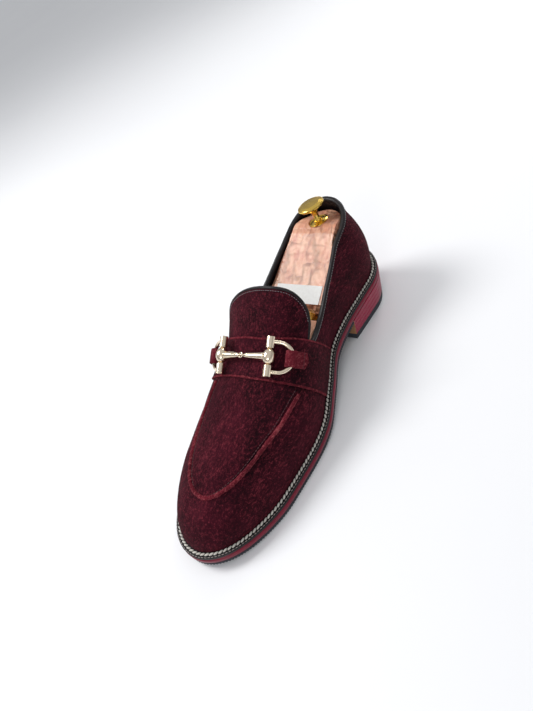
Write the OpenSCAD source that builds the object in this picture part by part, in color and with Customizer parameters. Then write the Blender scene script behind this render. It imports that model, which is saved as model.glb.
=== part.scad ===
// Right-foot suede loafer with a snaffle bit, on a sprung wooden shoe tree.
// Built on a last: s runs from the toe (0) to the heel (last_len), and every
// upper piece is a patch of the last's skin between two offsets from it.

/* [Last] */
// Length of the last's feather edge, toe to heel
last_len = 286; // [240:1:345]
// Width of the last against its standard fitting, in percent
width_fit = 100; // [84:1:120]
// Height of the instep against its standard fitting, in percent
instep_fit = 100; // [84:1:120]

/* [Sole and heel] */
// How far the sole stands out beyond the upper
flange = 5; // [3:0.5:8]
// Rubber outsole thickness
outsole_t = 2.7; // [2:0.1:5]
// Leather midsole thickness
midsole_t = 4.9; // [3:0.1:8]
// Welt thickness
welt_t = 2.4; // [1.6:0.1:4]
// Radius of the welt's white rope stitch
rope_r = 1; // [0.6:0.1:1.4]
// Length of the heel from its breast to the feather edge's back
heel_len = 72; // [60:1:85]
// Thickness of the rubber top lift that meets the ground
top_lift_t = 6; // [4:0.5:9]
// How far the heel draws in from the sole's edge at the ground
heel_taper = 4; // [1:0.5:4.5]
// Thickness of the insole board
insole_t = 2.2; // [1.5:0.1:3]
// Thickness of the sock liner
sock_t = 0.8; // [0.5:0.1:1.5]

/* [Upper] */
// Suede thickness
suede_t = 1.3; // [0.9:0.1:1.8]
// Thickness of the toe puff and heel counter
stiffener_t = 0.7; // [0.4:0.1:1.2]
// Lining thickness
lining_t = 0.9; // [0.6:0.1:1.4]
// Distance from the toe to the apron seam, on the standard last
apron_tip = 28.5; // [22:0.5:40]
// Half width of the raised apron seam
seam_r = 1.6; // [1:0.1:2.4]
// Strap thickness
strap_t = 1.4; // [1:0.1:2]
// Front edge of the strap at the crown, from the toe of the standard last
strap_front = 116.5; // [112:0.5:122]
// Width of the strap at the crown
strap_w = 27; // [20:0.5:32]
// Length of the tongue tab beyond the strap
tongue_len = 36; // [24:1:46]
// Radius of the black piping on the topline and tongue
piping_r = 1.5; // [1:0.1:2]

/* [Bit] */
// Distance between the pins of the two rings
bit_span = 45; // [41:1:50]
// Length of a ring's pin with its barrels
pin_len = 29; // [24:0.5:34]
// Radius of the thin pin that the bar turns on
pin_r = 1.5; // [1:0.1:1.8]
// Radius of the barrels
barrel_r = 3.1; // [2.4:0.1:3.6]
// Radius of the ring's wire
wire_r = 1.6; // [1.2:0.1:2]
// Radius of the ring's bow
bow_r = 11; // [9:0.5:12]
// How far the middle of the bit arches over its pins
bit_arch = 3.6; // [3:0.2:6]
// Width of a keeper loop
keeper_w = 12; // [9:0.5:14]
// Play of a ring's wire in its keeper
ring_play = 1; // [0.6:0.1:1.4]

/* [Shoe tree] */
// Radius of the two brass tubes
tube_r = 4.5; // [3.5:0.1:6]
// Distance between the tubes' axes
tube_gap = 20; // [16:1:24]
// Space between the heel block and the forepart, which the springs keep open
tree_gap = 11; // [9:0.5:14]
// Split between the two halves of the toe
toe_split = 3.5; // [3:0.1:6]
// Diameter of the pull knob
knob_d = 22.5; // [20:0.5:30]
// Height of the pull knob above its rosette
knob_h = 16.5; // [12:0.5:20]
// Clearance of the wood from the lining
wood_clear = 0.5; // [0.3:0.1:1.5]

/* [Hidden] */

// ---- standard last: [station from the toe, value] ----
base_len = 286;
grade = last_len / base_len;
MEDIAL = [[0, 36.5], [30, 37], [60, 40], [92, 42.5], [120, 43], [150, 34.5], [180, 25.5],
  [205, 25.5], [235, 28.5], [262, 31], [286, 32]];
LATERAL = [[0, 40.5], [30, 42.5], [60, 48], [92, 52.5], [125, 55.5], [150, 52.5],
  [180, 43.5], [205, 37.5], [235, 34], [262, 32], [286, 32]];
GROUND = [[-6, 4.5], [30, 1], [65, 0], [95, 0], [125, 4.5], [165, 11], [200, 18.5],
  [228, 21.5], [258, 23.5], [292, 27]];
CROWN = [[0, 24], [30, 31], [60, 39], [100, 46], [130, 51], [160, 68.5], [190, 76],
  [225, 86], [286, 95]];
POWER = [[0, 2.3], [60, 2.2], [100, 2.35], [150, 2.2], [200, 2.2], [240, 2.1], [286, 2.4]];
TOPLINE = [[130, 54], [150, 41], [180, 30.5], [210, 40], [240, 52.5], [265, 58.5],
  [286, 62]];
BULGE = [[0, 0], [60, 0.3], [120, 2], [180, 2.6], [235, 3.5], [286, 3.5]];
SPINE = [[0, 5], [40, 3], [90, 2.3], [130, 2.5], [170, 1], [210, 0.5], [286, 0]];
APRON_MEDIAL = [[22, 21.5], [60, 25], [95, 31], [135, 34]];
APRON_LATERAL = [[22, 25.5], [60, 28.5], [95, 35.5], [135, 35]];
toe_axis = 1.8;                 // the toe turns this far inwards
toe_round = 60 * grade;         // length of the toe's rounding in plan
heel_round = 36.5 * grade;      // length of the heel's rounding in plan
toe_rise = 40.5 * grade;        // length over which the toe rises
bulge_h = 50;                   // height over which the sides bulge
side_seam_low = 158 * grade;    // seam of vamp and quarter at the feather edge
side_seam_high = 136 * grade;   // and at the apron
skin_gap = 0.15;                // between layers of the upper
glue = 0.06;                    // between layers of the sole
step = 0.05;                    // for slopes

// ---- sums of the layers ----
sole_t = outsole_t + midsole_t + welt_t;
upper_t = suede_t + stiffener_t + lining_t + 2 * skin_gap;
stiffener_in = suede_t + skin_gap;
lining_in = stiffener_in + stiffener_t + skin_gap;
floor_h = insole_t + sock_t + 3 * glue;    // top of the sock liner over the feather edge
breast = last_len - heel_len;

// ---- curves ----
function slope(k, i) =
  i == 0 ? (k[1][1] - k[0][1]) / (k[1][0] - k[0][0]) :
  i == len(k) - 1 ? (k[i][1] - k[i-1][1]) / (k[i][0] - k[i-1][0]) :
  let (a = k[i][0] - k[i-1][0], b = k[i+1][0] - k[i][0])
  (b * (k[i][1] - k[i-1][1]) / a + a * (k[i+1][1] - k[i][1]) / b) / (a + b);
function curve(k, x, i = 0) =
  x <= k[0][0] ? k[0][1] :
  i == len(k) - 1 ? k[i][1] :
  x > k[i+1][0] ? curve(k, x, i + 1) :
  let (h = k[i+1][0] - k[i][0], t = (x - k[i][0]) / h)
  k[i][1] * (1 + 2*t) * (1-t) * (1-t) + slope(k, i) * h * t * (1-t) * (1-t)
  + k[i+1][1] * t * t * (3 - 2*t) - slope(k, i + 1) * h * t * t * (1-t);
function graded(k, s) = curve(k, s / grade);
function round_off(s, r) = s >= r ? 1 : s <= 0 ? 0 : sqrt(1 - pow(1 - s / r, 2));
function unit(v) = v / max(norm(v), 1e-9);
function ease(t) = 1 - cos(90 * t);
function mix(a, b, t) = a + (b - a) * t;

// ---- the last ----
function ground(s) = max(0, graded(GROUND, s));
function feather_z(s) = ground(s) + sole_t;
function axis_x(s) = toe_axis * (1 - s / last_len);
function half_width(s, side) = (side > 0 ? graded(MEDIAL, s) : graded(LATERAL, s))
  * width_fit / 100 * round_off(s, toe_round) * round_off(last_len - s, heel_round);
function edge(s, side) = [axis_x(s) + side * half_width(s, side), s];
// a point of the feather edge moved out by d
function plan(s, side, d) =
  let (t = unit(edge(min(s + step, last_len), side) - edge(max(s - step, 0), side)))
  edge(s, side) + d * side * [t.y, -t.x];
// one rib of the last: foot, centre, height of the foot, rise, power and bulge
function rib(s, side) =
  let (cy = min(s, last_len - heel_round),
       ax = axis_x(cy),
       cx = ax + (graded(SPINE, cy) - ax) * round_off(s, toe_rise))
  [edge(s, side), [cx, cy], feather_z(s),
   graded(CROWN, s) * instep_fit / 100 * round_off(s, toe_rise),
   graded(POWER, s), graded(BULGE, s)];
// v runs up a rib from the feather edge (0) to the crown (1)
function on_rib(r, v) =
  let (out = unit(r[0] - r[1]), c = pow(max(cos(90 * v), 0), 2 / r[4]),
       h = r[3] * pow(max(sin(90 * v), 0), 2 / r[4]),
       p = r[1] + (r[0] - r[1]) * c + out * r[5] * sin(180 * min(1, h / bulge_h)))
  [p.x, p.y, r[2] + h];
function ribs(s, side) =
  let (m = max(s, 0.3)) [rib(s, side), rib(m, side), rib(max(m - step, 0), side),
                         rib(min(m + step, last_len), side), side];
// point of the skin at v, d outside it
function skin_on(r, v, d) =
  let (lo = max(v - 0.006, 0), hi = min(v + 0.006, 1),
       across = r[4] * (on_rib(r[1], lo) - on_rib(r[1], hi)),
       along = on_rib(r[3], v) - on_rib(r[2], v))
  on_rib(r[0], v) + d * unit(cross(across, along));
// k runs across the shoe: -1 lateral edge, 0 crown, 1 medial edge
function skin(s, k, d) = skin_on(ribs(s, k < 0 ? -1 : 1), 1 - abs(k), d);
function k_at_height(s, side, h) =
  let (r = rib(s, side)) side * (1 - asin(min(1, pow(max(h, 0) / r[3], r[4] / 2))) / 90);
// the skin over a point of the plan
function over(p, d) =
  let (probe = rib(p.y, 1), side = p.x < probe[1].x ? -1 : 1, r = rib(p.y, side),
       w = min(1, abs(p.x - r[1].x) / max(abs(r[0].x - r[1].x), 1e-6)))
  skin_on(ribs(p.y, side), acos(min(1, pow(w, r[4] / 2))) / 90, d);
function top_h(s) = graded(TOPLINE, s) * instep_fit / 100;
// station i of n from a back to the heel, closer together at the heel
function to_heel(a, i, n) = last_len - (last_len - a) * (1 - sin(90 * i / n));
// the two sides in one list of [station, side]: lateral, round the heel, medial
function around_heel(a, b, n) = concat(
  [for (i = [0:n]) [to_heel(a, i, n), -1]], [for (i = [n-1:-1:0]) [to_heel(b, i, n), 1]]);
// the whole feather edge: lateral toe to heel and back on the medial side
function around_edge(n) = concat(
  [for (i = [0:n-1]) [last_len * (1 - cos(180 * i / n)) / 2, -1]],
  [for (i = [n:-1:1]) [last_len * (1 - cos(180 * i / n)) / 2, 1]]);

// ---- the frame: origin under the middle of the object's box ----
edge_x = [for (i = [0:40], side = [-1, 1]) plan(last_len * i / 40, side, flange).x];
middle = [(max(edge_x) + min(edge_x)) / 2,
  (plan(0, 1, flange).y + plan(last_len, 1, flange).y) / 2, 0];
module placed() translate(-middle) children();

// ---- solids from loops of points ----
function quad(a, b, c, d) = [[a, b, c], [a, c, d]];
function volume_of(p, f) = len(f) == 0 ? 0 :
  [for (t = f) p[t[0]] * cross(p[t[1]], p[t[2]])] * [for (t = f) 1];
// Loops of n points each; point j of a loop faces point n-1-j, which closes the ends.
module loft(loops, closed = false) {
  n = len(loops[0]);
  m = len(loops);
  points = [for (l = loops, p = l) p];
  wall = [for (i = [0 : m - (closed ? 1 : 2)], j = [0:n-1])
    let (a = i * n, b = ((i + 1) % m) * n, k = (j + 1) % n)
    each quad(a + j, a + k, b + k, b + j)];
  ends = closed ? [] : [for (e = [0, 1], j = [0 : n/2 - 2])
    let (a = e * (m - 1) * n, q = [a + j, a + n-1-j, a + n-2-j, a + j + 1])
    each (e == 0 ? quad(q[0], q[1], q[2], q[3]) : quad(q[3], q[2], q[1], q[0]))];
  faces = concat(wall, ends);
  out = volume_of(points, faces) > 0;
  polyhedron(points, out ? [for (t = faces) [t[2], t[1], t[0]]] : faces, convexity = 10);
}
function reversed(l) = [for (i = [len(l)-1:-1:0]) l[i]];
// a sheet between two grids of points
module sheet(outer, inner) loft([for (i = [0:len(outer)-1])
  concat(outer[i], reversed(inner[i]))]);
// a round bar along a path, with the direction that is up at each point
module bar_along(path, up, r, sides = 6, closed = false, half = false) {
  n = len(path);
  loft([for (i = [0:n-1])
    let (t = unit(path[closed ? (i+1) % n : min(i+1, n-1)]
                  - path[closed ? (i+n-1) % n : max(i-1, 0)]),
         b = unit(cross(t, up[i])), u = cross(b, t))
    [for (j = [0:sides-1]) let (a = half ? 180 * j / (sides - 1) : 360 * (j + 0.5) / sides)
      path[i] + r * cos(a) * b + r * sin(a) * u]], closed);
}
function at_height(p, h) = [p.x, p.y, ground(p.y) + h];
// a layer of the sole: heights over the ground line and distances from the feather edge
module sole_layer(from, to, low, high, out_low, out_high, n = 32) loft([for (i = [0:n])
  let (s = mix(from, to, (1 - cos(180 * i / n)) / 2))
  [at_height(plan(s, -1, out_low), low), at_height(plan(s, -1, out_high), high),
   at_height(plan(s, 1, out_high), high), at_height(plan(s, 1, out_low), low)]]);

// ================= sole and heel =================
module outsole_rubber() color("#23262b") placed()
  sole_layer(0, breast - 0.3, 0, outsole_t - glue, flange - 0.6, flange);
module midsole() color("#7a0f30") placed()
  sole_layer(0, last_len, outsole_t, outsole_t + midsole_t - 2 * glue, flange, flange, 40);
welt_in = 7;
module welt() color("#17141a") placed() loft([for (q = around_edge(36))
  let (lo = outsole_t + midsole_t, hi = sole_t - 2 * glue,
       a = plan(q[0], q[1], flange - 0.3), b = plan(q[0], q[1], -welt_in))
  [at_height(a, lo), at_height(a, hi), at_height(b, hi), at_height(b, lo)]], true);
rope_out = rope_r + 0.5;
module welt_stitching() {
  way = [for (q = around_edge(44)) at_height(plan(q[0], q[1], rope_out), sole_t + rope_r)];
  color("#d9d4cb") placed() bar_along(way, [for (p = way) [0, 0, 1]], rope_r, 6, true);
}
filler_gap = 0.3;
module cork_filler() color("#b08a5c") placed() sole_layer(0, side_seam_high,
  outsole_t + midsole_t + glue, sole_t - glue, -welt_in - filler_gap,
  -welt_in - filler_gap, 24);
shank_w = 14;
shank_t = 1.2;
module shank() color("#8d9298") placed()
  loft([for (i = [0:10]) let (s = mix(side_seam_high + 4, breast + 26, i / 10),
    x = (edge(s, 1).x + edge(s, -1).x) / 2, z = ground(s) + outsole_t + midsole_t + glue)
    [[x - shank_w/2, s, z], [x - shank_w/2, s, z + shank_t],
     [x + shank_w/2, s, z + shank_t], [x + shank_w/2, s, z]]]);
insole_in = upper_t + 0.3;
module insole_board() color("#b9925f") placed()
  sole_layer(0, last_len, sole_t + glue, sole_t + insole_t, -insole_in, -insole_in, 30);
module sock_liner() color("#1b191c") placed() sole_layer(0, last_len,
  sole_t + insole_t + glue, sole_t + insole_t + sock_t + glue, -insole_in - 0.3, -insole_in - 0.3, 30);

lifts = 4;
nail_r = 1;
nail_sink = 2.5;
heel_top = outsole_t - glue;
// height of the boundary under lift j at station s
function lift_z(s, j) = mix(top_lift_t, ground(s) + heel_top, j / lifts);
function heel_out(s, z) = flange - heel_taper * (1 - z / (ground(s) + heel_top));
function heel_point(s, side, j) =
  let (p = plan(s, side, flange), z = lift_z(p.y, j), q = plan(s, side, heel_out(p.y, z)))
  [q.x, q.y, z];
module heel_layer(from_j, to_j) loft([for (i = [0:14])
  let (s = to_heel(breast, i, 14),
       low = [for (side = [-1, 1]) let (p = heel_point(s, side, max(from_j, 0)))
         from_j < 0 ? concat(plan(s, side, flange - heel_taper), [0]) : p])
  [low[0], heel_point(s, -1, to_j), heel_point(s, 1, to_j), low[1]]]);
nail_places = [for (i = [0:5]) let (s = breast + heel_len * [0.2, 0.55, 0.8][i % 3],
  side = i < 3 ? -1 : 1) [edge(s, side).x * 0.55, s - heel_round * (i % 3 == 2 ? 0.15 : 0)]];
module nails(r) for (p = nail_places) translate([p.x, p.y, nail_sink])
  cylinder(r = r, h = ground(p.y) + heel_top - nail_sink - 1, $fn = 24);
module nailed(from_j, to_j) placed() difference() {
  heel_layer(from_j, to_j);
  nails(nail_r + 0.02);
}
module heel_lift(j) color("#7d1531") nailed(j - 1, j);
module heel_lift_1() heel_lift(1);
module heel_lift_2() heel_lift(2);
module heel_lift_3() heel_lift(3);
module heel_lift_4() heel_lift(4);
module top_lift() color("#1d1f24") nailed(-1, 0);
module heel_nails() color("#a9adb3") placed() nails(nail_r);

// ================= upper =================
suede = "#4b1022";
black = "#121013";
function apron_half(s, side) = (side > 0 ? graded(APRON_MEDIAL, s) : graded(APRON_LATERAL, s))
  * width_fit / 100 * round_off(s - apron_tip * grade, 40 * grade);
// the apron seam in plan: u from the lateral end (-1) round the toe to the medial end (1)
function seam_plan(u, s_end, inset = 0) =
  let (s = mix(apron_tip * grade + inset, s_end, ease(abs(u))), side = u < 0 ? -1 : 1)
  [rib(s, side)[1].x + side * max(apron_half(s, side) - inset, 0), s];
module vamp() {
  n = 20;
  m = 7;
  function at(i, j, d) =
    let (u = i / n, a = edge(side_seam_low * ease(abs(u)), u < 0 ? -1 : 1),
         b = seam_plan(u, side_seam_high))
    over(mix(a, b, ease(j / m)), d);
  color(suede) placed() sheet([for (i = [-n:n]) [for (j = [0:m]) at(i, j, 0)]],
        [for (i = [-n:n]) [for (j = [0:m]) at(i, j, -suede_t)]]);
}
module apron() {
  n = 18;
  m = 12;
  inset = 0.3;
  function at(i, j, d) =
    let (s = mix(apron_tip * grade + inset, side_seam_high, ease(i / n)), x = 2 * j / m - 1,
         w = x * max(apron_half(s, x < 0 ? -1 : 1) - inset, 0))
    over([rib(s, 1)[1].x + w, s], d);
  color(suede) placed() sheet([for (i = [0:n]) [for (j = [0:m]) at(i, j, 0)]],
        [for (i = [0:n]) [for (j = [0:m]) at(i, j, -suede_t)]]);
}

// the strap's two edges: station over k
strap_fall = 3.2;    // how late the lateral side of the strap widens
strap_swing = 1.8;   // and the medial side
function strap_edge(k, crown, lateral, medial, skew) =
  grade * (crown + skew * k * (1 - abs(k))
  + ((k < 0 ? lateral : medial) - crown) * pow(abs(k), k < 0 ? strap_fall : strap_swing));
function strap_fore(k) = strap_edge(k, strap_front, strap_front + 18.5, strap_front + 24, 3);
function strap_rear(k) = strap_edge(k, strap_front + strap_w, strap_front + strap_w + 40.5,
  strap_front + strap_w + 36.5, 1.2);
strap_lift = 0.25;
strap_foot = 2 * rope_r + 0.3;      // the strap ends over the rope stitch
strap_top = strap_lift + strap_t;
module strap() {
  n = 16;
  m = 4;
  function at(i, j, d) = let (q = i / n, side = q < 0 ? -1 : 1,
    foot = abs(k_at_height(mix(strap_fore(side), strap_rear(side), j / m), side, strap_foot)),
    k = q * foot) skin(mix(strap_fore(k), strap_rear(k), j / m), k, d);
  color(suede) placed() sheet([for (i = [-n:n]) [for (j = [0:m]) at(i, j, strap_top)]],
        [for (i = [-n:n]) [for (j = [0:m]) at(i, j, strap_lift)]]);
}
// the raised seam stops where the strap covers it
function seam_end(u) = u < 0 ? strap_fore(-0.42) - 3.5 : strap_fore(0.4) - 1.5;
module apron_seam() {
  n = 22;
  way = [for (i = [-n:n]) seam_plan(i / n, seam_end(i))];
  color("#6a1a30") placed() bar_along([for (p = way) over(p, skin_gap)],
    [for (p = way) over(p, 1) - over(p, 0)], seam_r, 6, false, true);
}

// station where the topline comes out from under the strap, by halving
function topline_start(side, lo, hi, i = 0) =
  let (m = (lo + hi) / 2, k = k_at_height(m, side, top_h(m)))
  i == 16 ? m : m > strap_rear(k) ? topline_start(side, lo, m, i + 1)
                                  : topline_start(side, m, hi, i + 1);
open_lateral = topline_start(-1, 140 * grade, 185 * grade);
open_medial = topline_start(1, 140 * grade, 185 * grade);
edge_drop = 2 * piping_r - 0.1;    // the leather stops this far under the topline
// k of a point of the plan
function k_over(p) = let (side = p.x < rib(p.y, 1)[1].x ? -1 : 1, r = rib(p.y, side),
  w = min(1, abs(p.x - r[1].x) / max(abs(r[0].x - r[1].x), 1e-6)))
  side * (1 - acos(min(1, pow(w, r[4] / 2))) / 90);
function seam_line(side, t) =
  mix(edge(side_seam_low, side), seam_plan(side, side_seam_high), t);
// station of the vamp's rear edge at k, by halving
function seam_station(side, k, lo = 0, hi = 1, i = 0) =
  let (m = (lo + hi) / 2) i == 9 ? seam_line(side, m).y :
  abs(k_over(seam_line(side, m))) > abs(k) ? seam_station(side, k, m, hi, i + 1)
                                           : seam_station(side, k, lo, m, i + 1);
function quarter_k(s, side, j) = mix(side,
  k_at_height(s, side, min(top_h(s) - edge_drop, rib(s, side)[3])), j / quarter_m);
quarter_n = 20;
quarter_m = 6;
back_gap = 0.002;
quarter_front = [for (side = [-1, 1]) [for (j = [0:quarter_m])
  let (s = seam_station(side, quarter_k(150 * grade, side, j)))
  seam_station(side, quarter_k(s, side, j)) + 0.7]];
function quarter_at(i, side, j, d) =
  let (s = mix(quarter_front[side > 0 ? 1 : 0][j], last_len - back_gap,
               sin(90 * i / quarter_n)))
  skin(s, quarter_k(s, side, j), d);
// both sides from row i of the lateral side, round the heel, to row i of the medial side
function quarter_rows(i) = concat([for (a = [i:quarter_n]) [a, -1]],
  [for (a = [quarter_n:-1:i]) [a, 1]]);
module quarter_layer(rows, top, out, in) sheet(
  [for (q = rows) [for (j = [0:top]) quarter_at(q[0], q[1], j, -out)]],
  [for (q = rows) [for (j = [0:top]) quarter_at(q[0], q[1], j, -in)]]);
module quarter(side) color(suede) placed()
  quarter_layer([for (i = [0:quarter_n]) [i, side]], quarter_m, 0, suede_t);
module quarter_lateral() quarter(-1);
module quarter_medial() quarter(1);
back_strap_run = 1.2;
module back_strap() {
  rows = around_heel(last_len - back_strap_run, last_len - back_strap_run, 3);
  m = 6;
  function at(q, j, d) =
    let (h = mix(strap_foot, top_h(q[0]) - edge_drop, j / m))
    skin(q[0], k_at_height(q[0], q[1], h), d);
  color(suede) placed() sheet([for (q = rows) [for (j = [0:m]) at(q, j, 1.2)]],
        [for (q = rows) [for (j = [0:m]) at(q, j, 0.2)]]);
}
module topline_binding() {
  sides = 8;
  color(black) placed() loft([for (q = around_heel(open_lateral + 2, open_medial + 2, 22))
    [for (j = [0:sides-1]) let (a = 360 * (j + 0.5) / sides,
      h = top_h(q[0]) - piping_r + 1 + piping_r * 0.9 * (sin(a) - 0.6))
      skin(q[0], k_at_height(q[0], q[1], h), -upper_t / 2 + (upper_t / 2 + 0.3) * cos(a))]]);
}
lining_n = 16;
lining_m = 14;
function vamp_end(k) = let (side = k < 0 ? -1 : 1)
  abs(k) < abs(k_over(seam_plan(side, side_seam_high))) ? side_seam_high
    : seam_station(side, k);
toe_gap = 0.2;             // the lining starts this far behind the tip of the toe
vamp_ends = [for (j = [0:lining_m]) vamp_end(2 * j / lining_m - 1)];
module vamp_layer(rows, out, in) sheet(
  [for (i = [0:rows]) [for (j = [0:lining_m])
    skin(mix(toe_gap, vamp_ends[j], ease(i / lining_n)), 2 * j / lining_m - 1, -out)]],
  [for (i = [0:rows]) [for (j = [0:lining_m])
    skin(mix(toe_gap, vamp_ends[j], ease(i / lining_n)), 2 * j / lining_m - 1, -in)]]);
module toe_puff() color("#c9b28c") placed()
  vamp_layer(9, stiffener_in, stiffener_in + stiffener_t);
module heel_counter() color("#c9b28c") placed()
  quarter_layer(quarter_rows(9), 4, stiffener_in, stiffener_in + stiffener_t);
module vamp_lining() color(black) placed()
  vamp_layer(lining_n, lining_in, lining_in + lining_t);
module quarter_lining() color(black) placed()
  quarter_layer(quarter_rows(0), quarter_m, lining_in, lining_in + lining_t);

// ---- tongue tab: straight lines from the strap's rear edge ----
tongue_rise = 36.9;      // its slope, in degrees
tongue_flare = 0.15;     // how its lateral side leans out
tongue_gap = 0.5;        // behind the strap
tongue_cut = 0.06;       // share of k left clear beside each topline
k_open_lateral = k_at_height(open_lateral, -1, top_h(open_lateral));
k_open_medial = k_at_height(open_medial, 1, top_h(open_medial));
function tongue_k(x) = x < 0 ? -x * (k_open_lateral + tongue_cut) : x * (k_open_medial - tongue_cut);
function tongue_at(x, l, d) =
  let (k = tongue_k(x), lean = x < 0 ? tongue_flare * x : 0)
  skin(strap_rear(k), k, d) + (l + tongue_gap)
  * unit([lean, cos(tongue_rise), sin(tongue_rise)]);
function tongue_reach(x) = tongue_len * pow(max(1 - x * x, 0), 1 / 3);
module tongue_layer(top, bottom) {
  n = 12;
  m = 5;
  inset = piping_r * 0.8;
  function at(i, j, d) = let (x = 0.97 * sin(84 * i / n))
    tongue_at(x, (tongue_reach(x) - inset) * j / m, d);
  sheet([for (i = [-n:n]) [for (j = [0:m]) at(i, j, top)]],
        [for (i = [-n:n]) [for (j = [0:m]) at(i, j, bottom)]]);
}
tongue_r = piping_r * 0.85;
module tongue_tab() color(suede) placed() tongue_layer(0, -suede_t);
module tongue_lining() color(black) placed()
  tongue_layer(-suede_t - skin_gap, -suede_t - skin_gap - lining_t);
module tongue_binding() {
  n = 20;
  turn = [for (i = [-n:n]) 90 * i / n];
  function at(a, d) = let (x = sin(a) * 1.03, l = a < -89 || a > 89 ? 0.3 :
    tongue_reach(sin(a)) + tongue_r * 0.6) tongue_at(x, l, d);
  mid = -(suede_t + lining_t) / 2;
  color(black) placed() bar_along([for (a = turn) at(a, mid)], [for (a = turn) at(a, mid + 1) - at(a, mid)],
    tongue_r, 6);
}

// ================= snaffle bit =================
bit_back = 12.65;          // its middle behind the strap's front edge at the crown
bit_side = -5.85;          // and to the lateral side of the shoe's axis
bit_x = unit([0.994, 0.082, 0.073]);
bit_z = unit(cross(bit_x, unit([-0.1, 0.86, 0.5])));
bit_y = cross(bit_z, bit_x);
egg_r = 4.7;
egg_len = 12.2;
bit_lift = 5.1;            // height of the middle of the bit over the last's skin
bit_at = over([bit_side, (strap_front + bit_back) * grade], 0) + [0, 0, bit_lift];
module in_bit() placed() multmatrix([for (i = [0:2])
  [bit_x[i], bit_y[i], bit_z[i], bit_at[i]]]) children();
// how far the rings hang down the sides of the instep
function ring_tilt(side) = side > 0 ? 34 : 28;
bow_at = 6.5;              // from the pin to the middle of the bow
barrel_len = (pin_len - egg_len) / 2 - 0.2;
module ring(side) {
  for (e = [-1, 1]) translate([0, e * (pin_len - barrel_len) / 2, 0]) rotate([90, 0, 0])
    cylinder(r = barrel_r, h = barrel_len, center = true, $fn = 40);
  rotate([90, 0, 0]) cylinder(r = pin_r, h = pin_len - 1, center = true, $fn = 24);
  rotate([0, ring_tilt(side), 0]) {
    translate([bow_at, 0, 0]) rotate([0, 0, -90]) rotate_extrude(angle = 180, $fn = 64)
      translate([bow_r, 0]) circle(r = wire_r, $fn = 20);
    for (e = [-1, 1]) translate([0, e * bow_r, 0]) rotate([0, 90, 0])
      cylinder(r = wire_r, h = bow_at, $fn = 20);
  }
}
bit_colour = "#d8c6ab";
module ring_medial() color(bit_colour) in_bit() translate([bit_span/2, 0, 0]) ring(1);
module ring_lateral() color(bit_colour) in_bit() translate([-bit_span/2, 0, 0])
  rotate([0, 0, 180]) ring(-1);
bar_len = sqrt(pow(bit_span / 2, 2) + pow(bit_arch, 2));
bar_turn = atan(bit_arch / (bit_span / 2));
bore_clear = 0.08;
bore_r = pin_r + bore_clear;
stem_from = bore_r + 0.6;
eye_r = 1.7;               // the two bars end in eyes linked through each other
eye_wire = 0.6;
eye_link = 0.9;            // from the middle of the bit to the middle of an eye
stem_to = bar_len - eye_link - eye_r + 0.2;
// an egg bored for the pin, with a stem towards -X that ends in an eye
module bar(eye_turn) rotate([0, bar_turn, 0]) {
  rotate([90, 0, 0]) rotate_extrude($fn = 48) polygon(concat(
    [[bore_r, -egg_len/2]], [for (a = [-66:12:66]) [egg_r * cos(a), egg_len/2 * sin(a)]],
    [[bore_r, egg_len/2]]));
  rotate([0, -90, 0]) rotate_extrude($fn = 36) polygon([[0, stem_from], [2.6, stem_from],
    [3.1, 4.6], [2.8, 8], [2.3, 13], [1.9, stem_to - 2], [1.3, stem_to], [0, stem_to]]);
  translate([eye_link - bar_len, 0, 0]) rotate([eye_turn, 0, 0])
    rotate_extrude($fn = 40) translate([eye_r, 0]) circle(r = eye_wire, $fn = 20);
}
module bar_medial() color(bit_colour) in_bit() translate([bit_span/2, 0, 0]) bar(90);
module bar_lateral() color(bit_colour) in_bit() translate([-bit_span/2, 0, 0])
  rotate([0, 0, 180]) bar(0);

// ---- keepers: folded suede loops that hold the rings' wires ----
keeper_t = 1;
keeper_len = 9;
// where the outermost point of a ring's wire lies, in the last's frame
function bow_tip(side) = bit_at + side * bit_x * (bit_span/2 + (bow_at + bow_r)
  * cos(ring_tilt(side))) - bit_z * (bow_at + bow_r) * sin(ring_tilt(side));
function keeper_normal(side) = unit(side * bit_x * sin(ring_tilt(side))
  + bit_z * cos(ring_tilt(side)));
function keeper_along(side) = unit(side * bit_x * cos(ring_tilt(side))
  - bit_z * sin(ring_tilt(side)));
module keeper(side) {
  z = keeper_normal(side);
  x = keeper_along(side);
  tip = bow_tip(side);
  in_r = wire_r + 0.4;
  mid_r = in_r + keeper_t / 2;
  sag = bow_r - sqrt(bow_r * bow_r - keeper_w * keeper_w / 4);
  fold = -sag - ring_play;
  // the folded strip from the stitched end, under the wire, round it and back
  spine = concat([[keeper_len, -mid_r], [keeper_len * 0.4, -mid_r]],
    [for (a = [-90:-30:-270]) [fold + mid_r * cos(a), mid_r * sin(a)]],
    [[0, mid_r], [keeper_len * 0.35, mid_r * 0.6],
     [keeper_len * 0.7, -mid_r + keeper_t * 1.6], [keeper_len, -mid_r + keeper_t + 0.05]]);
  n = len(spine);
  function across(i) = let (t = unit(spine[min(i+1, n-1)] - spine[max(i-1, 0)])) [-t.y, t.x];
  function spot(i, w, off) = let (p = spine[i] + off * across(i)) tip + p.x * x + p.y * z
    + w * bit_y;
  color("#6a1a30") placed() loft([for (w = [-keeper_w/2, keeper_w/2])
    concat([for (i = [0:n-1]) spot(i, w, keeper_t/2)],
           reversed([for (i = [0:n-1]) spot(i, w, -keeper_t/2)]))]);
}
module keeper_medial() keeper(1);
module keeper_lateral() keeper(-1);

// ================= shoe tree =================
wood = "#d8a78c";
brass = "#d9b23c";
block_front = 197 * grade;
fore_rear = block_front - tree_gap;
tube_mid = -2;
tube_z = 43 * grade;
tube_tilt = 5;
tube_in = 38;               // length of tube held in the forepart
tube_out = 42;              // and in the heel block
tube_wall = 0.8;
spring_len = 20;
run_clear = 0.1;
tube_axis = [0, cos(tube_tilt), sin(tube_tilt)];
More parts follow.
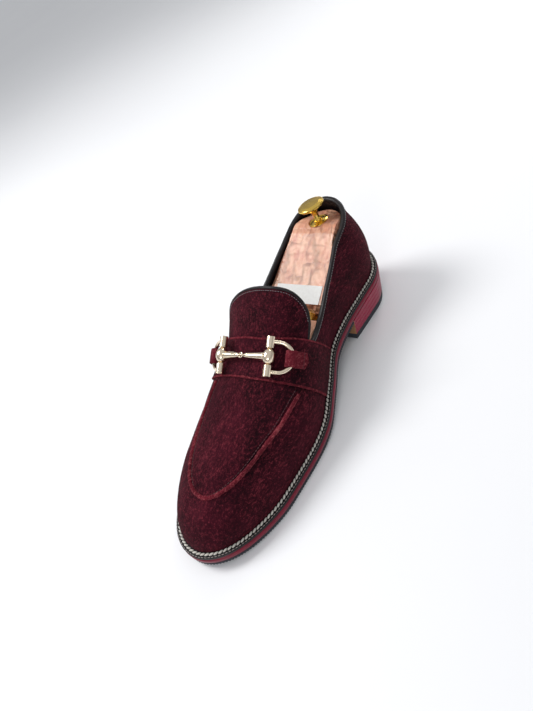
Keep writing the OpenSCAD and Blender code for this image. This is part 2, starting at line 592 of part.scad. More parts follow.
// a point of a tube's axis, measured back from the heel block's front face
function tube_point(side, l) = [tube_mid + side * tube_gap / 2, block_front, tube_z]
  + l * tube_axis;
module tube_hole(side, from, length, r) translate(tube_point(side, from))
  rotate([tube_tilt - 90, 0, 0]) cylinder(r = r, h = length, $fn = 40);
wood_floor = floor_h + wood_clear;
wood_in = upper_t + wood_clear;
WOOD_TOP = [[0, 200], [90, 62], [120, 60], [150, 58], [190, 50]];
// points up one wall of the wood at station s, from the floor to the crown
function wood_wall(s, side, inset, m) = let (r = ribs(s, side))
  [for (j = [0:m]) let (p = skin_on(r, sin(90 * j / m) * 0.999, -inset))
    [p.x, p.y, max(feather_z(s) + wood_floor, min(p.z, graded(WOOD_TOP, s)))]];
function to_plane(wall, x) = [for (p = wall) [x, p.y, p.z]];
function held_off(wall, x, side) = [for (p = wall)
  [side > 0 ? max(p.x, x + 0.5) : min(p.x, x - 0.5), p.y, p.z]];
wing_end = 128 * grade;
toe_start = 9 * grade;
split_x = tube_mid;
wing_extra = 0.3;          // more clearance for the half that moves
function wood_side(s, side, x, inset = wood_in) = held_off(wood_wall(s, side, inset, 7), x, side);
function half_loop(s, side) = let (x = split_x + side * toe_split / 2,
  w = wood_side(s, side, x, wood_in + (side > 0 ? wing_extra : 0))) concat(w, reversed(to_plane(w, x)));
function full_loop(s) = concat(wood_side(s, -1, split_x), reversed(wood_side(s, 1, split_x)));
pin_places = [60 * grade, 100 * grade];
wing_pin_r = 3;
wing_pin_in = 16;
pin_height = 12;
module wing_pin_shapes(r, from, to) for (s = pin_places)
  translate([split_x + from, s, feather_z(s) + wood_floor + pin_height]) rotate([0, 90, 0])
    cylinder(r = r, h = to - from, $fn = 32);
module tree_forepart() color(wood) placed() difference() {
  loft(concat([for (i = [0:12]) half_loop(mix(toe_start, wing_end, sin(90 * i / 12)), -1)],
    [for (i = [0:8]) full_loop(mix(wing_end + 0.05, fore_rear, i / 8))]));
  for (side = [-1, 1]) tube_hole(side, -tree_gap - tube_in, tube_in + 10, tube_r + 0.01);
  wing_pin_shapes(wing_pin_r + 0.01, -wing_pin_in, 0);
}
wing_travel = 2.5;
module tree_toe_wing() color(wood) placed() difference() {
  loft([for (i = [0:12]) half_loop(mix(toe_start, wing_end - 0.5, sin(90 * i / 12)), 1)]);
  wing_pin_shapes(wing_pin_r + run_clear, 0, wing_pin_in + wing_travel + 0.5);
}
module wing_pins() color(brass) placed() wing_pin_shapes(wing_pin_r, -wing_pin_in, wing_pin_in - 2);
// a coil of wire along an axis
module coil(at, axis, length, r, wire, turns) {
  n = turns * 8;
  a = unit(cross(axis, [0.3, 0.2, 1]));
  b = cross(axis, a);
  way = [for (i = [0:n]) at + axis * length * i / n
    + r * (cos(360 * i / 8) * a + sin(360 * i / 8) * b)];
  bar_along(way, [for (p = way) axis], wire, 4);
}
module wing_springs() color("#a9adb3") placed() for (s = pin_places)
  coil([split_x + wing_pin_in - 1.5, s, feather_z(s) + wood_floor + pin_height],
    [1, 0, 0], 4, 2, 0.4, 4);
module tree_tube(side) color(brass) placed() difference() {
  tube_hole(side, -tree_gap - tube_in, tube_in + tree_gap + tube_out, tube_r);
  tube_hole(side, -tree_gap - tube_in - 1, tube_in + tree_gap + tube_out + 2,
    tube_r - tube_wall);
}
module tree_tube_medial() tree_tube(1);
module tree_tube_lateral() tree_tube(-1);
module heel_springs() color("#a9adb3") placed() for (side = [-1, 1])
  coil(tube_point(side, tube_out + 0.8), tube_axis, spring_len - 1.6, tube_r - 1.2, 0.5, 7);

// top of the heel block along the shoe
BLOCK_TOP = [[193, 55], [215, 66], [235, 79], [248, 87.5], [256, 90], [262, 89.6],
  [286, 84]];
block_in = upper_t + 2.6;
knob_s = 259.5 * grade;
knob_tilt = 3;             // the knob leans back
knob_lean = 8;             // and to the lateral side
knob_sink = 0.8;           // depth of its seat in the block
module in_knob() placed() translate([0, knob_s, graded(BLOCK_TOP, knob_s) - knob_sink])
  rotate([-knob_tilt, -knob_lean, 0]) children();
module tree_heel_block() color(wood) difference() {
  placed() loft([for (i = [0:16]) let (s = to_heel(block_front, i, 16))
    let (w = [for (side = [-1, 1]) let (r = ribs(s, side)) [for (j = [0:6])
      let (y = min(s, last_len - block_in - 6),
           h = mix(wood_floor, graded(BLOCK_TOP, y) - feather_z(s), j / 6),
           p = skin_on(r, 1 - abs(k_at_height(s, side, h)), -block_in))
      [p.x, p.y, feather_z(s) + h]]])
    concat(w[0], reversed(w[1]))]);
  placed() for (side = [-1, 1])
    tube_hole(side, -5, tube_out + spring_len + 5, tube_r + run_clear);
  in_knob() cylinder(r = rosette_r + 0.3, h = 30, $fn = 48);
  in_knob() translate([0, 0, -knob_screw_in]) cylinder(r = knob_screw_r + 0.01,
    h = knob_screw_in + 1, $fn = 24);
}
rosette_r = 8.3;
rosette_t = 1.6;
knob_screw_r = 2;
knob_screw_in = 18;
module knob_rosette() color(brass) in_knob() rotate_extrude($fn = 60)
  polygon([[knob_screw_r + 0.02, 0.02], [rosette_r, 0.02], [rosette_r, 0.7],
    [rosette_r - 1.2, 1.3], [rosette_r - 2, 1], [4.5, rosette_t],
    [knob_screw_r + 0.02, rosette_t]]);
module knob() color(brass) in_knob() rotate_extrude($fn = 72) {
  r = knob_d / 2;
  h = rosette_t + knob_h;
  polygon(concat([[0, rosette_t + 1.02], [knob_screw_r + 0.6, rosette_t + 1.02],
    [knob_screw_r + 0.6, rosette_t + 0.05], [3.4, rosette_t + 0.05], [3.3, rosette_t + 1.4],
    [2.5, rosette_t + 2.4], [2.3, rosette_t + 5]],
    [for (a = [15:15:75]) [2.3 + (r - 3.3) * (1 - cos(a)),
      rosette_t + 5 + (knob_h - 9) * sin(a)]],
    [for (a = [-60:30:60]) [r - 1.4 + 1.4 * cos(a), h - 2.6 + 1.4 * sin(a)]],
    [[r - 3, h - 0.5], [0, h]]));
}
module knob_screw() color("#a9adb3") in_knob() translate([0, 0, -knob_screw_in])
  cylinder(r = knob_screw_r, h = knob_screw_in + rosette_t + 1, $fn = 24);
label_from = 197.2 * grade;
label_len = 13.8;
label_left = 25.5;
label_right = 18.3;
label_t = 0.3;
module paper_label() color("#f2f1ee") placed() loft([for (i = [0:4])
  let (s = label_from + label_len * i / 4, z = graded(BLOCK_TOP, s) + 0.3)
  [[-label_left, s, z], [-label_left, s, z + label_t], [label_right, s, z + label_t],
   [label_right, s, z]]]);

outsole_rubber();
midsole();
welt();
welt_stitching();
cork_filler();
shank();
insole_board();
sock_liner();
heel_lift_1();
heel_lift_2();
heel_lift_3();
heel_lift_4();
top_lift();
heel_nails();
vamp();
apron();
apron_seam();
quarter_lateral();
quarter_medial();
back_strap();
topline_binding();
strap();
keeper_medial();
keeper_lateral();
toe_puff();
heel_counter();
vamp_lining();
quarter_lining();
tongue_tab();
tongue_lining();
tongue_binding();
ring_medial();
ring_lateral();
bar_medial();
bar_lateral();
tree_forepart();
tree_toe_wing();
wing_pins();
wing_springs();
tree_tube_medial();
tree_tube_lateral();
heel_springs();
tree_heel_block();
knob();
knob_rosette();
knob_screw();
paper_label();
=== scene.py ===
"""A suede slip-on shoe with a snaffle bit, standing on the floor with its shoe tree in."""

import math

import bmesh
import bpy
import numpy as np
from mathutils import Matrix, Vector


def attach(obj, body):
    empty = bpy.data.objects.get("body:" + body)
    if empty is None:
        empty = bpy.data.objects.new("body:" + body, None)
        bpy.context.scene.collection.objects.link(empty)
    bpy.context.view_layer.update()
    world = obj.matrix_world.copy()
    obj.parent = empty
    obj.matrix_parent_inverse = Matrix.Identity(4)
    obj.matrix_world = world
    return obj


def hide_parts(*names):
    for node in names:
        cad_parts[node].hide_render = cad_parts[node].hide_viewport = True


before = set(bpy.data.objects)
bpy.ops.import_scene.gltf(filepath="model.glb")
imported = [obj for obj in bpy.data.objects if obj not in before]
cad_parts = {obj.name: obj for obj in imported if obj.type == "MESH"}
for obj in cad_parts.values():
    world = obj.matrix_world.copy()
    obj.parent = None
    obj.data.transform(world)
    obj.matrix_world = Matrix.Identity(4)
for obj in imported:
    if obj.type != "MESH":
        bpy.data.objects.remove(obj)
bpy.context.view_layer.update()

# ---- The floor, the light and the camera ----
# The shoe stands on a pale floor that has no edge in sight, under one broad soft lamp
# on its outer side and a weaker one in front, and is seen from over its inner side.
floor_mesh = bpy.data.meshes.new("floor")
floor_mesh.from_pydata([(-6, -6, 0), (6, -6, 0), (6, 6, 0), (-6, 6, 0)], [], [(0, 1, 2, 3)])
floor = bpy.data.objects.new("floor", floor_mesh)
bpy.context.scene.collection.objects.link(floor)
camera = bpy.data.objects.new("camera", bpy.data.cameras.new("camera"))
bpy.context.scene.collection.objects.link(camera)
bpy.context.scene.camera = camera
camera.data.sensor_width = 36
camera.data.lens = 28.2
eye = Vector((0.2597, -0.1909, 0.3367))
ahead = (Vector((0.0002, 0.0026, 0.0516)) - eye).normalized()
lean = math.radians(-31.86)
level = ahead.cross(Vector((0, 0, 1))).normalized()
upright = level.cross(ahead)
right = level * math.cos(lean) + upright * math.sin(lean)
above = upright * math.cos(lean) - level * math.sin(lean)
aimed = Matrix((right, above, -ahead)).transposed().to_4x4()
camera.matrix_world = Matrix.Translation(eye) @ aimed


def lamp(name, place, aim, width, watts, tint=(1, 1, 1)):
    light = bpy.data.objects.new(name, bpy.data.lights.new(name, "AREA"))
    light.data.shape = "DISK"
    light.data.size = width
    light.data.energy = watts
    light.data.color = tint
    light.location = place
    light.rotation_euler = (Vector(aim) - Vector(place)).to_track_quat("-Z", "Y").to_euler()
    bpy.context.scene.collection.objects.link(light)


lamp("key", (-0.85, -0.25, 1.15), (0, 0, 0.03), 0.6, 13)
lamp("front", (0.5, -1.2, 0.8), (0, -0.05, 0.05), 0.5, 4)
lamp("back", (-0.1, 1.2, 0.7), (0, 0.05, 0.05), 0.5, 4)
world = bpy.data.worlds.new("world")
bpy.context.scene.world = world
world.use_nodes = True
sky = world.node_tree
rise_of = sky.nodes.new("ShaderNodeSeparateXYZ")
shade = sky.nodes.new("ShaderNodeMapRange")
sky.links.new(sky.nodes.new("ShaderNodeTexCoord").outputs["Generated"], rise_of.inputs[0])
sky.links.new(rise_of.outputs["Z"], shade.inputs["Value"])
for socket, value in (("From Min", -0.1), ("From Max", 0.75),
                      ("To Min", 0.22), ("To Max", 0.62)):
    shade.inputs[socket].default_value = value
sky.links.new(shade.outputs[0], sky.nodes["Background"].inputs["Strength"])
sky.nodes["Background"].inputs["Color"].default_value = (0.95, 0.97, 1, 1)
bpy.context.scene.view_settings.view_transform = "Standard"


class Number:
    """A value in a finish, so that its arithmetic reads as arithmetic."""

    def __init__(self, tree, socket):
        self.tree = tree
        self.socket = socket

    def worked(self, operation, first, second=None):
        node = self.tree.nodes.new("ShaderNodeMath")
        node.operation = operation
        for place, value in enumerate((first, second)):
            if isinstance(value, Number):
                self.tree.links.new(value.socket, node.inputs[place])
            elif value is not None:
                node.inputs[place].default_value = value
        return Number(self.tree, node.outputs[0])

    def __add__(self, other):
        return self.worked("ADD", self, other)

    def __radd__(self, other):
        return self.worked("ADD", other, self)

    def __sub__(self, other):
        return self.worked("SUBTRACT", self, other)

    def __rsub__(self, other):
        return self.worked("SUBTRACT", other, self)

    def __mul__(self, other):
        return self.worked("MULTIPLY", self, other)

    def __rmul__(self, other):
        return self.worked("MULTIPLY", other, self)

    def clipped(self):
        return self.worked("MINIMUM", self.worked("MAXIMUM", self, 0.0), 1.0)


class Finish:
    """One material under construction."""

    def __init__(self, name, **steady):
        self.material = bpy.data.materials.new(name)
        self.material.use_nodes = True
        self.tree = self.material.node_tree
        self.shader = self.tree.nodes["Principled BSDF"]
        for socket, value in steady.items():
            self.shader.inputs[socket.replace("_", " ")].default_value = value

    def node(self, kind, settings=None, out=0, **values):
        node = self.tree.nodes.new("ShaderNode" + kind)
        for key, value in (settings or {}).items():
            setattr(node, key, value)
        for key, value in values.items():
            self.feed(node.inputs[int(key[1:]) if key[1:].isdigit() else key.replace("_", " ")],
                      value)
        return Number(self.tree, node.outputs[out])

    def feed(self, socket, value):
        if isinstance(value, Number):
            self.tree.links.new(value.socket, socket)
        else:
            socket.default_value = value

    def place(self, stretch=(1, 1, 1), turn=(0, 0, 0)):
        here = self.node("TexCoord", out=3)
        return self.node("Mapping", Vector=here, Scale=stretch, Rotation=turn)

    def noise(self, scale, detail=4.0, rough=0.55, at=None):
        return self.node("TexNoise", Vector=at or self.place(), Scale=scale, Detail=detail,
                         Roughness=rough)

    def mix(self, amount, first, second):
        return self.node("Mix", {"data_type": "RGBA"}, out=2, i0=amount, i6=first, i7=second)

    def fold(self, value, sharpness=9):
        """One along the middle value of a noise, falling off to both sides."""
        off = value - 0.5
        return 1 - off.worked("ABSOLUTE", off) * sharpness

    def ramp(self, value, low, high):
        return self.node("MapRange", Value=value, From_Min=low, From_Max=high)

    def bump(self, height, distance):
        return self.node("Bump", Height=height, Distance=distance)

    def out(self, **links):
        for socket, value in links.items():
            self.feed(self.shader.inputs[socket.replace("_", " ")], value)
        return self.material


def rgb(red, green, blue):
    """A colour as it looks on a screen, made linear."""
    return tuple((c / 12.92 if c <= 0.04045 else ((c + 0.055) / 1.055) ** 2.4)
                 for c in (red / 255, green / 255, blue / 255)) + (1.0,)


paper_white = Finish("floor_paper", Roughness=0.6)
floor_mesh.materials.append(paper_white.out(Base_Color=paper_white.mix(
    paper_white.noise(3), rgb(243, 243, 244), rgb(238, 238, 240))))

# ---- Rubber outsole ----
# A thin black rubber sole, moulded with fine upright grooves round its edge and cemented
# under the leather midsole. It rises at the toe and under the waist, as the last does.
last_len = 286
MEDIAL = [(0, 36.5), (30, 37), (60, 40), (92, 42.5), (120, 43), (150, 34.5), (180, 25.5),
          (205, 25.5), (235, 28.5), (262, 31), (286, 32)]
LATERAL = [(0, 40.5), (30, 42.5), (60, 48), (92, 52.5), (125, 55.5), (150, 52.5),
           (180, 43.5), (205, 37.5), (235, 34), (262, 32), (286, 32)]
GROUND = [(-6, 4.5), (30, 1), (65, 0), (95, 0), (125, 4.5), (165, 11), (200, 18.5),
          (228, 21.5), (258, 23.5), (292, 27)]
toe_axis, toe_round, heel_round = 1.8, 60, 36.5
flange, outsole_t, midsole_t, welt_t, glue = 5, 2.7, 4.9, 2.4, 0.06
sole_t = outsole_t + midsole_t + welt_t
breast = last_len - 72
step = 0.05


def curve(knots, at):
    x, y = np.array(knots, float).T
    gap = np.diff(x)
    rise = np.diff(y) / gap
    slope = np.empty(len(x))
    slope[0], slope[-1] = rise[0], rise[-1]
    slope[1:-1] = (gap[1:] * rise[:-1] + gap[:-1] * rise[1:]) / (gap[1:] + gap[:-1])
    at = np.clip(at, x[0], x[-1])
    i = np.clip(np.searchsorted(x, at) - 1, 0, len(gap) - 1)
    t = (at - x[i]) / gap[i]
    return (y[i] * (1 + 2 * t) * (1 - t) ** 2 + slope[i] * gap[i] * t * (1 - t) ** 2
            + y[i + 1] * t * t * (3 - 2 * t) - slope[i + 1] * gap[i] * t * t * (1 - t))


def round_off(s, r):
    return np.sqrt(1 - np.clip(1 - np.asarray(s, float) / r, 0, 1) ** 2)


def ground(y):
    return np.maximum(curve(GROUND, y), 0)


def edge(s, side):
    half = (np.where(side > 0, curve(MEDIAL, s), curve(LATERAL, s))
            * round_off(s, toe_round) * round_off(last_len - s, heel_round))
    return np.stack([toe_axis * (1 - s / last_len) + side * half, s + 0 * half], -1)


def unit(v):
    return v / np.maximum(np.linalg.norm(v, axis=-1, keepdims=True), 1e-9)


def plan(s, side, out):
    s, side, out = np.broadcast_arrays(np.asarray(s, float), side, out)
    way = unit(edge(np.minimum(s + step, last_len), side) - edge(np.maximum(s - step, 0), side))
    return edge(s, side) + (out * side)[..., None] * np.stack([way[..., 1], -way[..., 0]], -1)


def rim(start, end, count):
    """Even stations and sides of the sole's edge: out along one side, back on the other."""
    fine = start + (end - start) * (1 - np.cos(np.linspace(0, math.pi, 3000))) / 2
    run = np.cumsum(np.linalg.norm(np.diff(edge(fine, -1.0), axis=0), axis=1))
    s = np.interp(np.linspace(0, run[-1], count), np.concatenate([[0], run]), fine)
    return np.concatenate([s, s[::-1]]), np.repeat([-1.0, 1.0], count)


def at_height(p, height):
    return np.concatenate([p, (ground(p[..., 1]) + height)[..., None]], -1)


box_s = last_len * np.arange(41) / 40
inner_edge, outer_edge = plan(box_s, 1, flange), plan(box_s, -1, flange)
middle = np.array([(inner_edge[:, 0].max() + outer_edge[:, 0].min()) / 2,
                   inner_edge[[0, -1], 1].mean(), 0])


def piece(name, points, faces, finish, body, slot, stands_for=(), walls=None, sharp=50):
    """A mesh from points in millimetres over the last, as one named piece of the shoe."""
    mesh = bpy.data.meshes.new(name)
    mesh.from_pydata(((np.asarray(points) - middle) / 1000).tolist(), [], faces)
    mesh.materials.append(finish)
    if walls:
        mesh.materials.append(walls[0])
        mesh.polygons.foreach_set("material_index",
                                  [int(i >= walls[1]) for i in range(len(faces))])
    clean(mesh)
    mesh.shade_smooth()
    mesh.set_sharp_from_angle(angle=math.radians(sharp))
    made = bpy.data.objects.new(name, mesh)
    bpy.context.scene.collection.objects.link(made)
    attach(made, body)
    if stands_for:
        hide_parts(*stands_for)
    return made


def clean(mesh):
    """Joins doubled points and turns the faces outwards."""
    work = bmesh.new()
    work.from_mesh(mesh)
    bmesh.ops.remove_doubles(work, verts=work.verts, dist=2e-6)
    bmesh.ops.dissolve_degenerate(work, edges=work.edges, dist=1e-6)
    if work.calc_volume(signed=True) < 0:
        bmesh.ops.reverse_faces(work, faces=work.faces)
    work.to_mesh(mesh)
    work.free()


def stacked(rings):
    """Rings of points round the sole, joined one above the other and closed across."""
    count = len(rings[0])
    faces = []
    for level in range(len(rings) - 1):
        a, b = level * count, (level + 1) * count
        faces += [(a + i, a + (i + 1) % count, b + (i + 1) % count, b + i)
                  for i in range(count)]
    top = (len(rings) - 1) * count
    for i in range(count // 2 - 1):
        j = count - 1 - i
        faces.append((i, j, j - 1, i + 1))
        faces.append((top + i, top + i + 1, top + j - 1, top + j))
    return np.concatenate(rings), faces


def slab(low, high, out, start=0, end=last_len, count=160, bevel=0.5, groove=0.0):
    s, side = rim(start, end, count)
    cut = groove * (np.arange(len(s)) % 4 < 2)
    levels = [(low, bevel), (low + bevel, 0), (high - bevel, 0), (high, bevel)]
    return stacked([at_height(plan(s, side, out - inset - cut), height)
                    for height, inset in levels])


rubber = Finish("sole_rubber", Specular_IOR_Level=0.35)
rubber_grain = rubber.noise(900, 6, 0.6)
rubber_wear = rubber.noise(60, 5, 0.6)
rubber.out(Base_Color=rubber.mix(rubber_wear, rgb(30, 33, 38), rgb(62, 66, 74)),
           Roughness=0.55 + 0.3 * rubber_wear, Normal=rubber.bump(rubber_grain, 0.0002))
piece("sole_edge_rubber", *slab(0, outsole_t - glue, flange - 0.1, end=breast - 0.3, count=420,
                                bevel=0.35, groove=0.35),
      rubber.material, "shoe", "sole_rubber", ["outsole_rubber"])

# ---- Leather midsole ----
# Vegetable-tanned leather under the welt. Its edge is sanded round, dyed dark crimson and
# burnished with wax, so it shines; the layers' fibres show as faint level lines.


def dyed_edge(name, deep, bright):
    dyed = Finish(name, Coat_Roughness=0.15, Specular_IOR_Level=0.25)
    lines = dyed.noise(260, 6, 0.65, dyed.place((0.25, 0.25, 7)))
    cloud = dyed.noise(38, 4, 0.6)
    tone = (lines * 0.6 + cloud * 0.6 - 0.1).clipped()
    return dyed.out(Base_Color=dyed.mix(tone, deep, bright), Roughness=0.28 + 0.25 * lines,
                    Coat_Weight=0.3 * (1 - 0.5 * cloud), Normal=dyed.bump(lines, 0.00025))


sole_dye = dyed_edge("sole_dye", rgb(66, 3, 22), rgb(146, 6, 48))
piece("midsole_edge", *slab(outsole_t, outsole_t + midsole_t - glue, flange, count=240,
                            bevel=0.9), sole_dye, "shoe", "sole_leather", ["midsole"])

# ---- Stacked heel ----
# Four leather lifts and a rubber top lift, nailed and cemented, trimmed to one slightly
# tapering block, dyed and burnished as the midsole is. The breast is left near its tan.
lifts, top_lift_t, heel_taper = 4, 6, 4
heel_top = outsole_t - glue


def lift_z(y, level):
    return top_lift_t + (ground(y) + heel_top - top_lift_t) * level / lifts


def heel_ring(s, side, level, inset, shift):
    p = plan(s, side, flange)
    z = lift_z(p[:, 1], level) + shift if level >= 0 else 0 * s + shift
    full = ground(p[:, 1]) + heel_top
    q = plan(s, side, flange - heel_taper * (1 - z / full) - inset)
    return np.concatenate([q, z[:, None]], -1)


heel_dye = dyed_edge("heel_dye", rgb(84, 2, 28), rgb(178, 10, 66))
raw_breast = Finish("heel_breast")
breast_lines = raw_breast.noise(300, 6, 0.6, raw_breast.place((0.2, 0.2, 6)))
raw_breast.out(Base_Color=raw_breast.mix(breast_lines, rgb(120, 70, 42), rgb(196, 150, 104)),
               Roughness=0.5 + 0.2 * breast_lines,
               Normal=raw_breast.bump(breast_lines, 0.0003))
for lift in range(-1, lifts):
    stations, sides = rim(breast, last_len, 120)
    foot = [(0.3, 0), (0, 0.35)] if lift < 0 else [(0.28, 0.02), (0, 0.3)]
    head = [(0, -0.3), (0.28, -0.02)]
    points, faces = stacked([heel_ring(stations, sides, lift, *trim) for trim in foot]
                            + [heel_ring(stations, sides, lift + 1, *trim) for trim in head])
    made = piece("heel_stack_%d" % (lift + 2) if lift >= 0 else "heel_stack_rubber", points,
                 faces, heel_dye if lift >= 0 else rubber.material, "shoe",
                 "sole_leather" if lift >= 0 else "sole_rubber",
                 ["heel_lift_%d" % (lift + 1) if lift >= 0 else "top_lift"], sharp=30)
    if lift >= 0:
        made.data.materials.append(raw_breast.material)
        line = (breast - middle[1]) / 1000 + 0.0004
        for polygon in made.data.polygons:
            if polygon.center.y < line and polygon.normal.y < -0.7:
                polygon.material_index = 1

# ---- Welt and its rope stitch ----
# A strip of black leather stitched round the whole shoe. On it lies a thick white waxed
# thread in slanting stitches, tight against the upper, and a fine line near the edge.
welt_in, rope_r = 7, 1


def swept(loops, closed=False):
    """Loops of points joined in order; open ends are closed across."""
    rows, count = len(loops), len(loops[0])
    faces = []
    for i in range(rows if closed else rows - 1):
        a, b = i * count, ((i + 1) % rows) * count
        faces += [(a + j, a + (j + 1) % count, b + (j + 1) % count, b + j)
                  for j in range(count)]
    if not closed:
        for a, turn in ((0, 1), ((rows - 1) * count, -1)):
            for j in range(count // 2 - 1):
                k = count - 1 - j
                faces.append((a + j, a + k, a + k - 1, a + j + 1)[::turn])
    return np.concatenate(loops), faces


black = Finish("black_leather", Specular_IOR_Level=0.25, Coat_Roughness=0.2)
pebble = black.node("TexVoronoi", Vector=black.place(), Scale=900.0)
crease = black.noise(140, 5, 0.6)
black.out(Base_Color=black.mix(crease, rgb(9, 6, 8), rgb(28, 20, 23)),
          Roughness=0.36 + 0.25 * crease, Coat_Weight=0.22 * crease,
          Normal=black.bump(pebble * 0.6 + crease, 0.0003))
stations, sides = rim(0, last_len, 300)
welt_profile = [(flange - 0.9, 0), (flange - 0.3, 0.4), (flange - 0.3, welt_t - 0.7),
                (flange - 0.8, welt_t - 2 * glue), (3.1, welt_t - 2 * glue),
                (2.8, welt_t - 0.5), (0.6, welt_t - 0.5), (0.3, welt_t - 2 * glue),
                (-welt_in, welt_t - 2 * glue), (-welt_in, 0)]
welt_loops = [at_height(plan(stations, sides, out), outsole_t + midsole_t + height)
              for out, height in welt_profile]
piece("welt_strip", *swept(list(np.stack(welt_loops, 1)), closed=True), black.material,
      "shoe", "welt_leather", ["welt"], sharp=35)


def stitch_tree():
    """Geometry nodes that lay one stitch on every point of a seam."""
    tree = bpy.data.node_groups.new("stitches", "GeometryNodeTree")
    tree.interface.new_socket("Seam", in_out="INPUT", socket_type="NodeSocketGeometry")
    for name in ("Length", "Width", "Height", "Slant"):
        tree.interface.new_socket(name, in_out="INPUT", socket_type="NodeSocketFloat")
    tree.interface.new_socket("Thread", in_out="INPUT", socket_type="NodeSocketMaterial")
    tree.interface.new_socket("Stitches", in_out="OUTPUT", socket_type="NodeSocketGeometry")

    def node(kind, settings=None, **links):
        made = tree.nodes.new(kind)
        for key, value in (settings or {}).items():
            setattr(made, key, value)
        for key, value in links.items():
            socket = made.inputs[int(key[1:]) if key[1:].isdigit() else key]
            if isinstance(value, bpy.types.NodeSocket):
                tree.links.new(value, socket)
            else:
                socket.default_value = value
        return made

    given = node("NodeGroupInput").outputs
    thread = node("GeometryNodeMeshUVSphere", Segments=8, Rings=6, Radius=0.5).outputs["Mesh"]
    size = node("ShaderNodeCombineXYZ", X=given["Length"], Y=given["Width"],
                Z=given["Height"]).outputs[0]
    sized = node("GeometryNodeTransform", Geometry=thread, Scale=size).outputs[0]
    turn = node("FunctionNodeEulerToRotation",
                Euler=node("ShaderNodeCombineXYZ", Z=given["Slant"]).outputs[0]).outputs[0]
    slanted = node("GeometryNodeTransform", Geometry=sized, Rotation=turn).outputs[0]
    ways = [node("GeometryNodeInputNamedAttribute", {"data_type": "FLOAT_VECTOR"},
                 Name=name).outputs[0] for name in ("up", "along")]
    facing = node("FunctionNodeAxesToRotation", {"primary_axis": "Z", "secondary_axis": "X"},
                  i0=ways[0], i1=ways[1]).outputs[0]
    laid = node("GeometryNodeInstanceOnPoints", Points=given["Seam"], Instance=slanted,
                Rotation=facing).outputs[0]
    real = node("GeometryNodeRealizeInstances", Geometry=laid).outputs[0]
    smooth = node("GeometryNodeSetShadeSmooth", Geometry=real).outputs[0]
    done = node("GeometryNodeSetMaterial", Geometry=smooth, Material=given["Thread"]).outputs[0]
    tree.links.new(done, node("NodeGroupOutput").inputs[0])
    return tree


stitching = stitch_tree()


def spaced(path, gap):
    """Points every gap along a path, with the path's direction there."""
    path = np.asarray(path)
    run = np.concatenate([[0], np.cumsum(np.linalg.norm(np.diff(path, axis=0), axis=1))])
    at = np.linspace(0, run[-1], max(2, int(round(run[-1] / gap)) + 1))
    points = np.stack([np.interp(at, run, path[:, i]) for i in range(3)], 1)
    return points, unit(np.gradient(points, axis=0)), at / run[-1]


def sewn(name, path, ups, gap, size, slant, thread, body, slot, stands_for=()):
    points, along, share = spaced(path, gap)
    ups = np.asarray(ups)
    run = np.linspace(0, 1, len(ups))
    up = unit(np.stack([np.interp(share, run, ups[:, i]) for i in range(3)], 1))
    mesh = bpy.data.meshes.new(name)
    mesh.from_pydata(((points - middle) / 1000).tolist(), [], [])
    for key, value in (("up", up), ("along", along)):
        mesh.attributes.new(key, "FLOAT_VECTOR", "POINT").data.foreach_set(
            "vector", value.astype(np.float32).ravel())
    made = bpy.data.objects.new(name, mesh)
    bpy.context.scene.collection.objects.link(made)
    nodes = made.modifiers.new("stitches", "NODES")
    nodes.node_group = stitching
    values = dict(zip(("Length", "Width", "Height"), (v / 1000 for v in size)),
                  Slant=math.radians(slant), Thread=thread)
    for item in stitching.interface.items_tree:
        if item.in_out == "INPUT" and item.name in values:
            nodes[item.identifier] = values[item.name]
    bpy.context.view_layer.update()
    ready = made.evaluated_get(bpy.context.evaluated_depsgraph_get())
    plain = bpy.data.meshes.new_from_object(ready)
    made.modifiers.remove(nodes)
    made.data = plain
    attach(made, body)
    if stands_for:
        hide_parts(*stands_for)
    return made


def waxed_thread(name, dark, light, rough=0.6):
    thread = Finish(name, Sheen_Weight=0.2, Roughness=rough)
    strand = thread.noise(700, 5, 0.6)
    return thread.out(Base_Color=thread.mix(strand, dark, light),
                      Normal=thread.bump(strand, 0.0003))


white_thread = waxed_thread("white_thread", rgb(150, 144, 134), rgb(235, 231, 222))
rope_way = at_height(plan(stations, sides, rope_r + 0.7), sole_t + 0.35)
sewn("rope_stitch", np.concatenate([rope_way, rope_way[:1]]), [(0, 0, 1)] * 2, 3.4,
     (4.1, 1.7, 1.5), 24, white_thread, "shoe", "rope_thread", ["welt_stitching"])
fine_thread = waxed_thread("fine_thread", rgb(110, 100, 98), rgb(190, 180, 172))
edge_way = at_height(plan(stations, sides, 3.9), sole_t - 0.05)
sewn("welt_edge_stitch", np.concatenate([edge_way, edge_way[:1]]), [(0, 0, 1)] * 2, 2.6,
     (2.0, 0.5, 0.45), 0, fine_thread, "shoe", "rope_thread")

# ---- Vamp ----
# One piece of suede, drawn over the last from the welt up to the apron seam, rough side
# out. The nap is brushed, so it shows lighter and darker strokes that lie along the shoe.
CROWN = [(0, 24), (30, 31), (60, 39), (100, 46), (130, 51), (160, 68.5), (190, 76),
         (225, 86), (286, 95)]
POWER = [(0, 2.3), (60, 2.2), (100, 2.35), (150, 2.2), (200, 2.2), (240, 2.1), (286, 2.4)]
TOPLINE = [(130, 54), (150, 41), (180, 30.5), (210, 40), (240, 52.5), (265, 58.5),
           (286, 62)]
BULGE = [(0, 0), (60, 0.3), (120, 2), (180, 2.6), (235, 3.5), (286, 3.5)]
SPINE = [(0, 5), (40, 3), (90, 2.3), (130, 2.5), (170, 1), (210, 0.5), (286, 0)]
APRON_MEDIAL = [(22, 21.5), (60, 25), (95, 31), (135, 34)]
APRON_LATERAL = [(22, 25.5), (60, 28.5), (95, 35.5), (135, 35)]
toe_rise, bulge_h, apron_tip, suede_t = 40.5, 50, 28.5, 1.3
seam_low, seam_high = 158, 136


